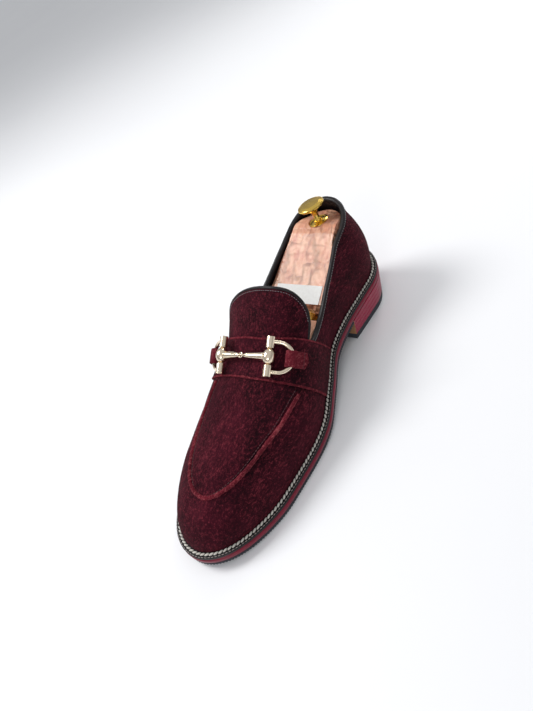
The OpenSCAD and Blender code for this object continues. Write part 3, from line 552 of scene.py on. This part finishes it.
def rib(s, side):
    foot = edge(s, side)
    y = np.minimum(s, last_len - heel_round)
    axis = toe_axis * (1 - y / last_len)
    x = axis + (curve(SPINE, y) - axis) * round_off(s, toe_rise)
    return (foot, np.stack([x, y], -1), ground(s) + sole_t,
            curve(CROWN, s) * round_off(s, toe_rise), curve(POWER, s), curve(BULGE, s))


def on_rib(r, v):
    foot, core, base, rise, power, bulge = r
    turn = np.radians(90 * v)
    away = np.maximum(np.cos(turn), 0) ** (2 / power)
    height = rise * np.maximum(np.sin(turn), 0) ** (2 / power)
    swell = bulge * np.sin(np.pi * np.minimum(height / bulge_h, 1))
    p = core + (foot - core) * away[..., None] + unit(foot - core) * swell[..., None]
    return np.concatenate([p, (base + height)[..., None]], -1)


def skin_side(s, side, v, out):
    s, side, v, out = np.broadcast_arrays(np.asarray(s, float), side, v, out)
    m = np.maximum(s, 0.3)
    here = rib(m, side)
    across = side[..., None] * (on_rib(here, np.maximum(v - 0.006, 0))
                                - on_rib(here, np.minimum(v + 0.006, 1)))
    along = (on_rib(rib(np.minimum(m + step, last_len), side), v)
             - on_rib(rib(np.maximum(m - step, 0), side), v))
    return on_rib(rib(s, side), v) + out[..., None] * unit(np.cross(across, along))


def skin(s, k, out):
    """A point over the last: k is -1 at the outer edge, 0 on the crown, 1 at the inner."""
    k = np.asarray(k, float)
    return skin_side(s, np.where(k < 0, -1.0, 1.0), 1 - np.abs(k), out)


def k_at_height(s, side, h):
    rise = rib(s, side)[3]
    share = np.clip((np.maximum(h, 0) / rise) ** (curve(POWER, s) / 2), 0, 1)
    return side * (1 - np.degrees(np.arcsin(share)) / 90)


def side_and_v(p):
    side = np.where(p[..., 0] < rib(p[..., 1], 1.0)[1][..., 0], -1.0, 1.0)
    foot, core, _, _, power, _ = rib(p[..., 1], side)
    share = np.clip(np.abs(p[..., 0] - core[..., 0])
                    / np.maximum(np.abs(foot[..., 0] - core[..., 0]), 1e-6), 0, 1)
    return side, np.degrees(np.arccos(share ** (power / 2))) / 90


def over(p, out):
    side, v = side_and_v(p)
    return skin_side(p[..., 1], side, v, out)


def ease(t):
    return 1 - np.cos(np.radians(90 * t))


def mix(a, b, t):
    return a + (b - a) * t


def apron_half(s, side):
    return (np.where(side > 0, curve(APRON_MEDIAL, s), curve(APRON_LATERAL, s))
            * round_off(s - apron_tip, 40))


def seam_plan(u, end, inset=0.0):
    s = mix(apron_tip + inset, end, ease(np.abs(u)))
    side = np.where(u < 0, -1.0, 1.0)
    x = rib(s, side)[1][..., 0] + side * np.maximum(apron_half(s, side) - inset, 0)
    return np.stack([x, s + 0 * x], -1)


def sheet(outer, inner):
    """A closed sheet between two grids of points; says where its walls start."""
    rows, cols = outer.shape[:2]
    size = rows * cols
    faces = [(i * cols + j, i * cols + j + 1, (i + 1) * cols + j + 1, (i + 1) * cols + j)
             for i in range(rows - 1) for j in range(cols - 1)]
    faces += [tuple(size + k for k in reversed(face)) for face in faces]
    walls = len(faces)
    border = ([i * cols for i in range(rows)]
              + [(rows - 1) * cols + j for j in range(1, cols)]
              + [i * cols + cols - 1 for i in range(rows - 2, -1, -1)]
              + [j for j in range(cols - 2, 0, -1)])
    faces += [(a, b, size + b, size + a)
              for a, b in zip(border, border[1:] + border[:1])]
    return np.concatenate([outer.reshape(-1, 3), inner.reshape(-1, 3)]), faces, walls


def suede(name, deep, mid, light):
    """Brushed nap: broad patches, strokes along the shoe and single pale fibres."""
    nap = Finish(name, Sheen_Weight=0.12, Sheen_Roughness=0.4, Specular_IOR_Level=0.08,
                 Sheen_Tint=rgb(210, 120, 130))
    patch = nap.noise(30, 3, 0.55)
    stroke = nap.noise(1.0, 6, 0.7, nap.place((85, 28, 85)))
    tuft = nap.noise(1.0, 4, 0.75, nap.place((620, 330, 620)))
    fibre = nap.noise(1500, 3, 0.75)
    tone = nap.ramp(patch * 0.5 + stroke * 0.4 + tuft * 0.42, 0.5, 0.8)
    pale = nap.ramp(fibre * 0.55 + tuft * 0.6 + stroke * 0.2, 0.69, 0.85)
    colour = nap.mix((pale * 0.85).clipped(), nap.mix(tone.clipped(), deep, mid), light)
    fuzz = fibre * 0.55 + tuft + stroke * 0.25
    return nap.out(Base_Color=colour, Roughness=0.8 + 0.18 * tuft,
                   Normal=nap.bump(fuzz, 0.0011))


oxblood = suede("oxblood_suede", rgb(16, 3, 8), rgb(66, 13, 29), rgb(132, 52, 62))
cut_edge = suede("cut_suede_edge", rgb(66, 16, 26), rgb(120, 34, 48), rgb(180, 98, 100))


def cutting(name, outer, inner, node, sharp=50):
    """A sheet of suede, whose walls show the paler fibre of the cut."""
    points, faces, walls = sheet(outer, inner)
    piece(name, points, faces, oxblood, "shoe", "suede", [node], (cut_edge, walls), sharp)


t = np.linspace(0, 1, 41)[None, :, None]
u = np.linspace(-1, 1, 221)
vamp_foot = edge(seam_low * ease(np.abs(u)), np.where(u < 0, -1.0, 1.0))[:, None]
vamp_plan = mix(vamp_foot, seam_plan(u, seam_high)[:, None], ease(t))
cutting("vamp_suede", over(vamp_plan, 0.0), over(vamp_plan, -suede_t), "vamp")

# ---- Apron and its raised seam ----
# The plug over the toes. It is hand-sewn to the vamp: both edges are turned up and pinched
# into one ridge, which rubs redder than the rest, with fine stitches along its inner foot.
s = mix(apron_tip + 0.3, seam_high, ease(np.linspace(0, 1, 110)))[:, None]
x = np.linspace(-1, 1, 81)[None, :]
half = np.maximum(apron_half(s, np.where(x < 0, -1.0, 1.0)) - 0.3, 0)
dip = -0.45 * np.exp(-((1 - np.abs(x)) * half / 2.2) ** 2)
apron_plan = np.stack([rib(s, 1.0)[1][..., 0] + x * half, s + 0 * x], -1)
cutting("apron_suede", over(apron_plan, dip), over(apron_plan, -suede_t), "apron")


def strap_edge(k, crown, lateral, medial, skew):
    k = np.asarray(k, float)
    return (crown + skew * k * (1 - np.abs(k)) + (np.where(k < 0, lateral, medial) - crown)
            * np.abs(k) ** np.where(k < 0, 3.2, 1.8))


def strap_fore(k):
    return strap_edge(k, 116.5, 135, 140.5, 3)


def strap_rear(k):
    return strap_edge(k, 143.5, 184, 180, 1.2)


def seam_ends(u):
    return np.where(u < 0, strap_fore(-0.42) - 3.5, strap_fore(0.4) - 1.5)


def bead(path, ups, radius, sides, tall=1.0, turn=360):
    """A bead along a path, round or half round; its radius may change along it."""
    way = unit(np.gradient(path, axis=0))
    beside = unit(np.cross(way, ups))
    up = np.cross(beside, way)
    radius = np.broadcast_to(radius, len(path))[:, None]
    angles = np.radians(turn * np.arange(sides) / (sides - (turn < 360)))
    return [path + radius * (np.cos(a) * beside + tall * np.sin(a) * up) for a in angles]


u = np.linspace(-1, 1, 420)
ridge_plan = seam_plan(u, seam_ends(u))
ridge_foot, ridge_head = over(ridge_plan, -0.1), over(ridge_plan, 1.0)
ridge_run = np.arange(len(u))
ridge_r = 1.55 + 0.12 * np.sin(ridge_run * 0.9) + 0.08 * np.sin(ridge_run * 0.37 + 1)
ridge = bead(ridge_foot, ridge_head - ridge_foot, ridge_r, 12, 1.15, turn=180)
piece("apron_ridge", *swept(list(np.stack(ridge, 1))), cut_edge, "shoe", "suede_edge",
      ["apron_seam"])
dark_thread = waxed_thread("dark_thread", rgb(30, 8, 14), rgb(92, 34, 44))
inner_plan = seam_plan(u, seam_ends(u), 2.3)
inner_foot = over(inner_plan, -0.1)
sewn("apron_stitches", inner_foot, over(inner_plan, 1) - over(inner_plan, 0), 2.4,
     (1.9, 0.6, 0.5), 0, dark_thread, "shoe", "suede_edge")

# ---- Quarters and back strap ----
# The two sides behind the strap, of the same suede, closed by a seam up the back under a
# narrow strip. Their upper edge dips at the ankle and is bound in black leather.
edge_drop, seam_gap = 2.9, 0.7


def top_h(s):
    return curve(TOPLINE, s)


def k_top(s, side):
    return k_at_height(s, side, np.minimum(top_h(s) - edge_drop, rib(s, side)[3]))


def seam_station(side, k):
    """Where the seam of vamp and quarter crosses k, on one side."""
    line = mix(edge(np.array([float(seam_low)]), side), seam_plan(np.array([side]), seam_high),
               np.linspace(0, 1, 400)[:, None])
    across = 1 - side_and_v(line)[1]
    return np.interp(np.abs(k), across[::-1], line[::-1, 1], left=seam_high, right=seam_low)


def quarter_grid(side, out, rows=120, cols=46):
    q = np.linspace(0, 1, cols)[None, :]
    front = seam_station(side, mix(side, k_top(150.0, side), q))
    front = seam_station(side, mix(side, k_top(front, side), q)) + seam_gap
    w = np.sin(np.radians(90 * np.linspace(0, 1, rows)))[:, None]
    s = mix(front, last_len - 0.002, w)
    return skin(s, mix(side, k_top(s, side), q), out)


for side, name in ((-1.0, "lateral"), (1.0, "medial")):
    cutting("quarter_suede_" + name, quarter_grid(side, 0.0), quarter_grid(side, -suede_t),
            "quarter_" + name)
foot_h = 2 * rope_r + 0.3
back_s = np.concatenate([last_len - np.array([1.2, 0.7, 0.35, 0.12, 0.02]),
                         last_len - np.array([0.02, 0.12, 0.35, 0.7, 1.2])])
back_side = np.repeat([-1.0, 1.0], 5)
back_h = np.linspace(0, 1, 40)[None, :]
back_h = mix(foot_h, top_h(back_s)[:, None] - edge_drop, back_h)
back_k = k_at_height(back_s[:, None], back_side[:, None], back_h)
thin = np.array([0.35, 1, 1.2, 1.2, 1.2, 1.2, 1.2, 1.2, 1, 0.35])[:, None]
cutting("back_strip", *(skin_side(back_s[:, None], back_side[:, None], 1 - np.abs(back_k), out)
                        for out in (thin, 0.15)), "back_strap")
stitch_h = mix(foot_h + 1, top_h(last_len) - edge_drop - 1, np.linspace(0, 1, 60))
row_s = last_len - 0.85
for side, name in ((-1.0, "lateral"), (1.0, "medial")):
    up_back = 1 - np.abs(k_at_height(row_s, side, stitch_h))
    way = skin_side(row_s, side, up_back, 1.15)
    sewn("back_stitches_" + name, way, way - skin_side(row_s, side, up_back, 0.0),
         2.4, (1.8, 0.5, 0.5), 0, dark_thread, "shoe", "suede")

# ---- Linings ----
# Thin black leather inside the whole upper, cemented to the suede with the stiffeners
# between. It shows inside the topline, where it is turned under the binding.
lining_out, lining_in = 2.3, 3.2
both = [np.concatenate([quarter_grid(-1.0, -d), quarter_grid(1.0, -d)[::-1]])
        for d in (lining_out, lining_in)]
piece("quarter_lining_leather", *sheet(*both)[:2], black.material, "shoe", "black_leather",
      ["quarter_lining"])
k = np.linspace(-1, 1, 81)[None, :]
ends = np.where(k < 0, seam_station(-1.0, k), seam_station(1.0, k))
s = mix(0.2, ends, ease(np.linspace(0, 1, 70))[:, None])
piece("vamp_lining_leather", *sheet(skin(s, k, -lining_out), skin(s, k, -lining_in))[:2],
      black.material, "shoe", "black_leather", ["vamp_lining"])

# ---- Topline binding ----
# A strip of black leather folded over the upper edge from one side of the strap round the
# heel to the other, and sewn through close to its lower edge with a fine thread.
lateral_start, medial_start, bind_rows = 151.9, 164.4, 170
w = np.sin(np.radians(90 * np.linspace(0, 1, bind_rows)))
bind_s = np.concatenate([mix(lateral_start, last_len, w),
                         mix(medial_start, last_len, w)[::-1][1:]])
bind_side = np.repeat([-1.0, 1.0], [bind_rows, bind_rows - 1])
bind_profile = [(0.05, -2.75), (0.38, -2.6), (0.5, -1.8), (0.45, -0.9), (0.15, -0.3),
                (-0.7, 0.05), (-1.7, 0.12), (-2.7, -0.05), (-3.4, -0.6), (-3.6, -1.6),
                (-3.55, -2.6), (-3.2, -2.8)]
bind_loops = [skin_side(bind_s, bind_side,
                        1 - np.abs(k_at_height(bind_s, bind_side, top_h(bind_s) + h)), d)
              for d, h in bind_profile]
piece("topline_piping", *swept(list(np.stack(bind_loops, 1))), black.material, "shoe",
      "black_leather", ["topline_binding"], sharp=60)
grey_thread = waxed_thread("grey_thread", rgb(60, 56, 60), rgb(170, 164, 166), 0.45)
row_v = 1 - np.abs(k_at_height(bind_s, bind_side, top_h(bind_s) - 2.15))
row_at = [skin_side(bind_s, bind_side, row_v, out) for out in (0, 0.5, 1)]
fine_row = 2.1, (1.5, 0.45, 0.4), 0, grey_thread
sewn("topline_stitches", row_at[1], row_at[2] - row_at[0], *fine_row, "shoe", "black_leather")

# ---- Strap ----
# A broad strip of the same suede across the instep, lasted down with the upper on both
# sides. Its cut edges are left raw and show a paler, slightly frayed line.
strap_lift, strap_t = 0.25, 1.4


def strap_grid(out, rows=240, cols=36):
    k = np.linspace(-1, 1, rows)[:, None]
    w = np.linspace(0, 1, cols)[None, :]
    side = np.where(k < 0, -1.0, 1.0)
    foot = np.abs(k_at_height(mix(strap_fore(side), strap_rear(side), w), side, foot_h))
    k = k * foot
    return skin(mix(strap_fore(k), strap_rear(k), w), k, out)


w = np.linspace(0, 1, 36)[None, :]
round_top = strap_lift + strap_t - 0.5 * np.exp(-np.minimum(w, 1 - w) * 27 / 0.7)
cutting("strap_suede", strap_grid(round_top), strap_grid(strap_lift), "strap", sharp=35)
for name, edge_line, inset in (("fore", strap_fore, 0.35), ("rear", strap_rear, -0.35)):
    k = np.linspace(-0.955, 0.955, 260)
    way = skin(edge_line(k) + inset, k, strap_lift + strap_t * 0.55)
    up = skin(edge_line(k) + inset, k, 2.0) - skin(edge_line(k) + inset, k, 1.0)
    fray = 0.85 + 0.07 * np.sin(np.arange(260) * 1.3) + 0.05 * np.sin(np.arange(260) * 0.47)
    piece("strap_raw_edge_" + name, *swept(list(np.stack(bead(way, up, fray, 10), 1))),
          cut_edge, "shoe", "suede_edge")

# ---- Snaffle bit ----
# Cast and polished pale metal. Two D-shaped rings with barrels on their pins, and a mouth-
# piece in two arms linked by eyes; it is decoration, with a little play in its keepers.
bit_metal = Finish("bit_metal", Metallic=1.0, Anisotropic=0.2)
smear = bit_metal.noise(120, 5, 0.6)
scratch = bit_metal.noise(500, 6, 0.7, bit_metal.place((1, 6, 6)))
bit_metal.out(Base_Color=bit_metal.mix(smear, rgb(226, 205, 176), rgb(246, 232, 212)),
              Roughness=0.1 + 0.14 * smear + 0.08 * scratch,
              Normal=bit_metal.bump(scratch, 0.00002))


def dressed(finish, *names):
    """A hard piece that keeps its own mesh and gets its finish."""
    for name in names:
        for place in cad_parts[name].material_slots:
            place.material = finish


dressed(bit_metal.material, "ring_medial", "ring_lateral", "bar_medial", "bar_lateral")

# ---- Keepers ----
# Two short tabs of suede, each folded round the bow of a ring with a little play, its two
# layers closed behind the wire and sewn down to the strap with two rows.
bit_x = unit(np.array([0.994, 0.082, 0.073]))
bit_z = unit(np.cross(bit_x, unit(np.array([-0.1, 0.86, 0.5]))))
bit_y = np.cross(bit_z, bit_x)
bit_lift = 5.1
bit_at = over(np.array([-5.85, 129.15]), 0.0) + np.array([0, 0, bit_lift])
bit_span, bow_at, bow_r, wire_r = 45, 6.5, 11, 1.6
keeper_t, keeper_w, keeper_len, keeper_bow, ring_play = 1, 12, 9, 2.2, 1
for side, tilt, name in ((1, 34, "medial"), (-1, 28, "lateral")):
    tilt = math.radians(tilt)
    along = unit(side * bit_x * math.cos(tilt) - bit_z * math.sin(tilt))
    normal = unit(side * bit_x * math.sin(tilt) + bit_z * math.cos(tilt))
    tip = bit_at + side * bit_x * bit_span / 2 + (bow_at + bow_r) * along
    inner = wire_r + 0.4
    mid = inner + keeper_t / 2
    fold = -(bow_r - math.sqrt(bow_r ** 2 - keeper_w ** 2 / 4)) - ring_play
    bend = [(fold + mid * math.cos(math.radians(a)), mid * math.sin(math.radians(a)))
            for a in range(-90, -271, -10)]
    spine = np.array([(keeper_len, -mid), (keeper_len * 0.7, -mid), (keeper_len * 0.4, -mid),
                      (0.5, -mid), *bend, (0.2, mid), (keeper_len * 0.18, mid * 0.93),
                      (keeper_len * 0.36, mid * 0.55), (keeper_len * 0.52, 0.0),
                      (keeper_len * 0.68, -mid + keeper_t * 1.45),
                      (keeper_len * 0.84, -mid + keeper_t * 1.1),
                      (keeper_len, -mid + keeper_t + 0.05)])
    way = unit(np.gradient(spine, axis=0))
    face = np.stack([-way[:, 1], way[:, 0]], 1)
    loops = []
    for w, thin in ((-1, 0.55), (-0.94, 0.9), (-0.8, 1), (-0.6, 1), (-0.4, 1), (-0.2, 1),
                    (0, 1), (0.2, 1), (0.4, 1), (0.6, 1), (0.8, 1), (0.94, 0.9), (1, 0.55)):
        ring = np.concatenate([spine + face * keeper_t / 2 * thin,
                               (spine - face * keeper_t / 2 * thin)[::-1]])
        ring[:, 0] += keeper_bow * (1 - w * w) * np.clip(ring[:, 0] / keeper_len, 0, 1) ** 2
        loops.append(tip + ring[:, :1] * along + ring[:, 1:] * normal
                     + w * keeper_w / 2 * bit_y)
    piece("keeper_suede_" + name, *swept(loops), cut_edge, "shoe", "suede_edge",
          ["keeper_" + name], sharp=60)
    for row in (0.62, 0.88):
        y = np.linspace(-0.8, 0.8, 12)[:, None] * keeper_w / 2
        path = tip + keeper_len * row * along + (-mid + keeper_t * 1.75) * normal + y * bit_y
        sewn("keeper_stitches_%s_%d" % (name, row * 100), path, [normal] * 2, 2.0,
             (1.6, 0.5, 0.4), 0, dark_thread, "shoe", "suede_edge")

# ---- Tongue tab ----
# A stiff tab that stands up behind the strap and is sewn down under its rear edge. Suede
# outside and black leather inside, its rim bound in black leather and sewn round.
tongue_len, tongue_gap = 36, 0.5
rise = math.radians(36.9)
k_open = (-0.5696 - 0.06, 0.6883 - 0.06)


def tongue_at(x, run, out):
    x, run, out = np.broadcast_arrays(np.asarray(x, float), run, out)
    k = np.where(x < 0, -x * k_open[0], x * k_open[1])
    lean = np.where(x < 0, 0.15 * x, 0)
    way = unit(np.stack([lean, 0 * x + math.cos(rise), 0 * x + math.sin(rise)], -1))
    return skin(strap_rear(k), k, out) + (run + tongue_gap)[..., None] * way


def tongue_reach(x):
    return tongue_len * np.maximum(1 - x * x, 0) ** (1 / 3)


def tongue_grid(out, inset=0.2, under=4.5):
    x = 1.015 * np.sin(np.radians(90 * np.linspace(-1, 1, 161)))[:, None]
    w = np.linspace(0, 1, 56)[None, :]
    return tongue_at(x, mix(-under, np.maximum(tongue_reach(x) - inset, 0), w), out)


piece("tongue_suede", *sheet(tongue_grid(0.0), tongue_grid(-suede_t))[:2], oxblood,
      "tongue", "suede", ["tongue_tab"])
piece("tongue_lining_leather", *sheet(tongue_grid(-1.45), tongue_grid(-2.35))[:2],
      black.material, "tongue", "black_leather", ["tongue_lining"])
turn = np.radians(np.linspace(-90, 90, 240))
rim_x = np.sin(turn) * 1.03
rim_run = np.where(np.abs(turn) > math.radians(89), 0.3, tongue_reach(np.sin(turn)) + 0.75)
rim_way = tongue_at(rim_x, rim_run, -1.1)
rim_up = tongue_at(rim_x, rim_run, -0.1) - rim_way
piece("tongue_piping", *swept(list(np.stack(bead(rim_way, rim_up, 1.3, 14, 1.15), 1))),
      black.material, "tongue", "black_leather", ["tongue_binding"])
row_turn = np.radians(np.linspace(-86, 86, 240))
row_x = 0.965 * np.sin(row_turn)
row_run = np.maximum(tongue_reach(row_x) - 1.4, 0)
row_way = tongue_at(row_x, row_run, 0.1)
sewn("tongue_stitches", row_way, tongue_at(row_x, row_run, 1.05) - row_way, *fine_row,
     "tongue", "black_leather")

# ---- Shoe tree ----
# Sanded light wood with a pink cast, grain along the foot. Springs push out the split toe
# and the heel block, which slides on two brass tubes. A brass knob is screwed into the
# block, and a crinkled clear film is drawn over it.
wood = Finish("tree_wood", Specular_IOR_Level=0.3)
warp = wood.noise(14, 3, 0.5)
grain = wood.noise(1.0, 8, 0.62, wood.place((150, 9, 150)))
pore = wood.noise(1.0, 4, 0.7, wood.place((900, 60, 900)))
rings_of_growth = wood.ramp(grain * 0.8 + warp * 0.5, 0.42, 0.86)
wood_tone = wood.mix(rings_of_growth.clipped(), rgb(238, 192, 162), rgb(204, 132, 102))
wood.out(Base_Color=wood.mix((wood.ramp(pore, 0.6, 0.8) * 0.3).clipped(), wood_tone,
                             rgb(150, 92, 66)),
         Roughness=0.5 + 0.2 * grain, Normal=wood.bump(grain * 0.7 + pore * 0.5, 0.0002))
insole_t, sock_t, stiffener_t, lining_t = 2.2, 0.8, 0.7, 0.9
floor_h, wood_clear = insole_t + sock_t + 3 * glue, 0.5
upper_t = suede_t + stiffener_t + lining_t + 0.3
wood_in, wood_floor, block_in = upper_t + wood_clear, floor_h + wood_clear, upper_t + 2.6
WOOD_TOP = [(0, 200), (90, 62), (120, 60), (150, 58), (190, 50)]
BLOCK_TOP = [(193, 55), (215, 66), (235, 79), (248, 87.5), (256, 90), (262, 89.6),
             (286, 84)]
split_x, toe_split, wing_end, block_front, tree_gap = -2, 3.5, 128, 197, 11


def wood_wall(s, side, x, inset, count=40):
    v = np.sin(np.radians(90 * np.linspace(0, 1, count))) * 0.999
    p = skin_side(s, side, v, -inset)
    top = ground(s) + sole_t + wood_floor
    p[:, 2] = np.maximum(top, np.minimum(p[:, 2], curve(WOOD_TOP, s)))
    p[:, 0] = np.maximum(p[:, 0], x + 0.5) if side > 0 else np.minimum(p[:, 0], x - 0.5)
    return p


def half_loop(s, side):
    x = split_x + side * toe_split / 2
    wall = wood_wall(s, side, x, wood_in + (0.3 if side > 0 else 0))
    flat = wall.copy()
    flat[:, 0] = x
    return np.concatenate([wall, flat[::-1]])


def bored(made, holes):
    """Drills round holes: (point, direction, radius, length) in millimetres."""
    for centre, way, radius, length in holes:
        drill = bpy.data.meshes.new("drill")
        work = bmesh.new()
        bmesh.ops.create_cone(work, cap_ends=True, segments=48, radius1=radius / 1000,
                              radius2=radius / 1000, depth=length / 1000,
                              matrix=Matrix.Translation((Vector(centre)
                                                         - Vector(middle)) / 1000)
                              @ Vector(way).to_track_quat("Z", "Y").to_matrix().to_4x4())
        work.to_mesh(drill)
        work.free()
        tool = bpy.data.objects.new("drill", drill)
        bpy.context.scene.collection.objects.link(tool)
        cut = made.modifiers.new("bore", "BOOLEAN")
        cut.operation = "DIFFERENCE"
        cut.solver = "EXACT"
        cut.object = tool
        bpy.context.view_layer.update()
        ready = made.evaluated_get(bpy.context.evaluated_depsgraph_get())
        plain = bpy.data.meshes.new_from_object(ready)
        made.modifiers.remove(cut)
        made.data = plain
        bpy.data.objects.remove(tool)
    made.data.set_sharp_from_angle(angle=math.radians(40))
    return made


tube_r, tube_rise = 4.5, math.radians(5)
tube_way = np.array([0, math.cos(tube_rise), math.sin(tube_rise)])
tube_ends = [np.array([-2 + side * 10, block_front, 43]) for side in (-1, 1)]
toe_run = np.sin(np.linspace(0, math.pi / 2, 60))
fore_loops = [half_loop(s, -1) for s in mix(9, wing_end, toe_run)]
fore_loops += [np.concatenate([wood_wall(s, -1, split_x, wood_in),
                               wood_wall(s, 1, split_x, wood_in)[::-1]])
               for s in np.linspace(wing_end + 0.05, block_front - tree_gap, 50)]
fore_wood = piece("forepart_wood", *swept(fore_loops), wood.material, "shoe", "wood",
                  ["tree_forepart"], sharp=40)
bored(fore_wood, [(p - 15 * tube_way, tube_way, tube_r + 0.02, 30) for p in tube_ends])
wing_loops = [half_loop(s, 1) for s in mix(9, wing_end - 0.5, toe_run)]
piece("toe_wing_wood", *swept(wing_loops), wood.material, "tree_toe", "wood",
      ["tree_toe_wing"], sharp=40)


def block_side(s, side, count=30):
    y = min(s, last_len - block_in - 6)
    h = mix(wood_floor, curve(BLOCK_TOP, y) - ground(s) - sole_t, np.linspace(0, 1, count))
    p = skin_side(s, side, 1 - np.abs(k_at_height(s, side, h)), -block_in)
    p[:, 2] = ground(s) + sole_t + h
    return p


block_loops = [np.concatenate([block_side(s, -1.0), block_side(s, 1.0)[::-1]])
               for s in mix(block_front, last_len, np.sin(np.linspace(0, math.pi / 2, 90)))]
film = Finish("film_on_wood", Specular_IOR_Level=0.5, Coat_Roughness=0.07)
film_grain = film.noise(1.0, 8, 0.62, film.place((150, 9, 150)))
pull = film.noise(60, 2, 0.5, film.place((1.3, 0.45, 1), (0, 0, 0.6)))
slack = film.noise(75, 2, 0.5, film.place((0.5, 1.2, 1), (0, 0, -0.5)))
# The same fold lines shape the film's bump and are painted darker into its colour: painted
# shade in its creases.
folds_and_crease_shade = film.fold(pull) + film.fold(slack) * 0.7
film_tone = film.mix(film.ramp(film_grain, 0.4, 0.7).clipped(), rgb(226, 172, 140),
                     rgb(196, 118, 92))
# Along the fold crests the colour is mixed toward a dark red-brown: painted shade in the film's
# creases.
film.out(Base_Color=film.mix((film.ramp(folds_and_crease_shade, 1.25, 1.6) * 0.35).clipped(), film_tone,
                             rgb(150, 88, 80)),
         Roughness=0.45 + 0.15 * film_grain, Coat_Weight=0.2 + 0.15 * pull,
         Normal=film.bump(folds_and_crease_shade, 0.0016))
block = piece("heel_block_wood", *swept(block_loops), film.material, "tree_heel", "wood",
              ["tree_heel_block"], sharp=40)
lean_back, lean_out = math.radians(3), math.radians(8)
knob_way = np.array([-math.cos(lean_back) * math.sin(lean_out), math.sin(lean_back),
                     math.cos(lean_back) * math.cos(lean_out)])
knob_s, knob_sink, rosette_r = 259.5, 0.8, 8.5
knob_seat = np.array([0, knob_s, curve(BLOCK_TOP, knob_s) - knob_sink])
bored(block, [(p + 29 * tube_way, tube_way, tube_r + 0.1, 66) for p in tube_ends]
      + [(knob_seat + 15 * knob_way, knob_way, rosette_r + 0.1, 30)])
brass = Finish("brass", Metallic=1.0)
brass_smear = brass.noise(160, 5, 0.6)
brass.out(Base_Color=brass.mix(brass_smear, rgb(214, 166, 52), rgb(246, 214, 120)),
          Roughness=0.09 + 0.2 * brass_smear, Normal=brass.bump(brass_smear, 0.00003))
dressed(brass.material, "knob", "knob_rosette", "tree_tube_medial", "tree_tube_lateral",
        "wing_pins")
steel = Finish("plain_steel", Metallic=1.0)
steel_haze = steel.noise(300, 5, 0.6)
steel.out(Base_Color=steel.mix(steel_haze, rgb(150, 152, 156), rgb(190, 192, 196)),
          Roughness=0.25 + 0.25 * steel_haze)
dressed(steel.material, "knob_screw", "heel_springs", "wing_springs", "heel_nails", "shank")

# ---- Paper label ----
# A plain white label, pasted across the front of the heel block's top.
paper = Finish("paper", Roughness=0.75)
pulp = paper.noise(500, 5, 0.6)
paper.out(Base_Color=paper.mix(pulp, rgb(226, 224, 219), rgb(247, 246, 243)),
          Normal=paper.bump(pulp, 0.0001))
label_lift, label_t = 0.12, 0.18
label_s = np.linspace(197.2, 211, 12)[:, None]
label_x = np.linspace(-25.5, 18.3, 16)[None, :]
label_z = curve(BLOCK_TOP, label_s) + label_lift + 0 * label_x
label = np.stack([label_x + 0 * label_s, label_s + 0 * label_x, label_z], -1)
piece("label_paper", *sheet(label + np.array([0, 0, label_t]), label)[:2], paper.material,
      "tree_heel", "paper", ["paper_label"])

# ---- Inside the shoe ----
# The insole board and its sock liner under the tree, and what is shut in between the
# layers: cork in the forepart, the toe puff and the heel counter.
tan = Finish("insole_tan", Roughness=0.7)
tan_fibre = tan.noise(300, 6, 0.6)
tan.out(Base_Color=tan.mix(tan_fibre, rgb(150, 112, 74), rgb(196, 158, 112)),
        Normal=tan.bump(tan_fibre, 0.0002))
insole_in = upper_t + 0.3
board_top, sock_top = sole_t + insole_t, sole_t + insole_t + sock_t + glue
piece("insole_leather", *slab(sole_t + glue, board_top, -insole_in, bevel=0.3),
      tan.material, "shoe", "insole_leather", ["insole_board"])
piece("sock_leather", *slab(board_top + glue, sock_top, -insole_in - 0.3, bevel=0.2),
      black.material, "shoe", "black_leather", ["sock_liner"])
cork = Finish("cork", Roughness=0.85)
crumb = cork.node("TexVoronoi", out=1, Vector=cork.place(), Scale=450.0)
cork.out(Base_Color=cork.mix(0.5, crumb, rgb(168, 124, 80)))
dressed(cork.material, "cork_filler")
board = Finish("stiffener_board", Roughness=0.8)
board_fibre = board.noise(400, 5, 0.6)
board.out(Base_Color=board.mix(board_fibre, rgb(176, 150, 110), rgb(206, 184, 146)))
dressed(board.material, "toe_puff", "heel_counter")
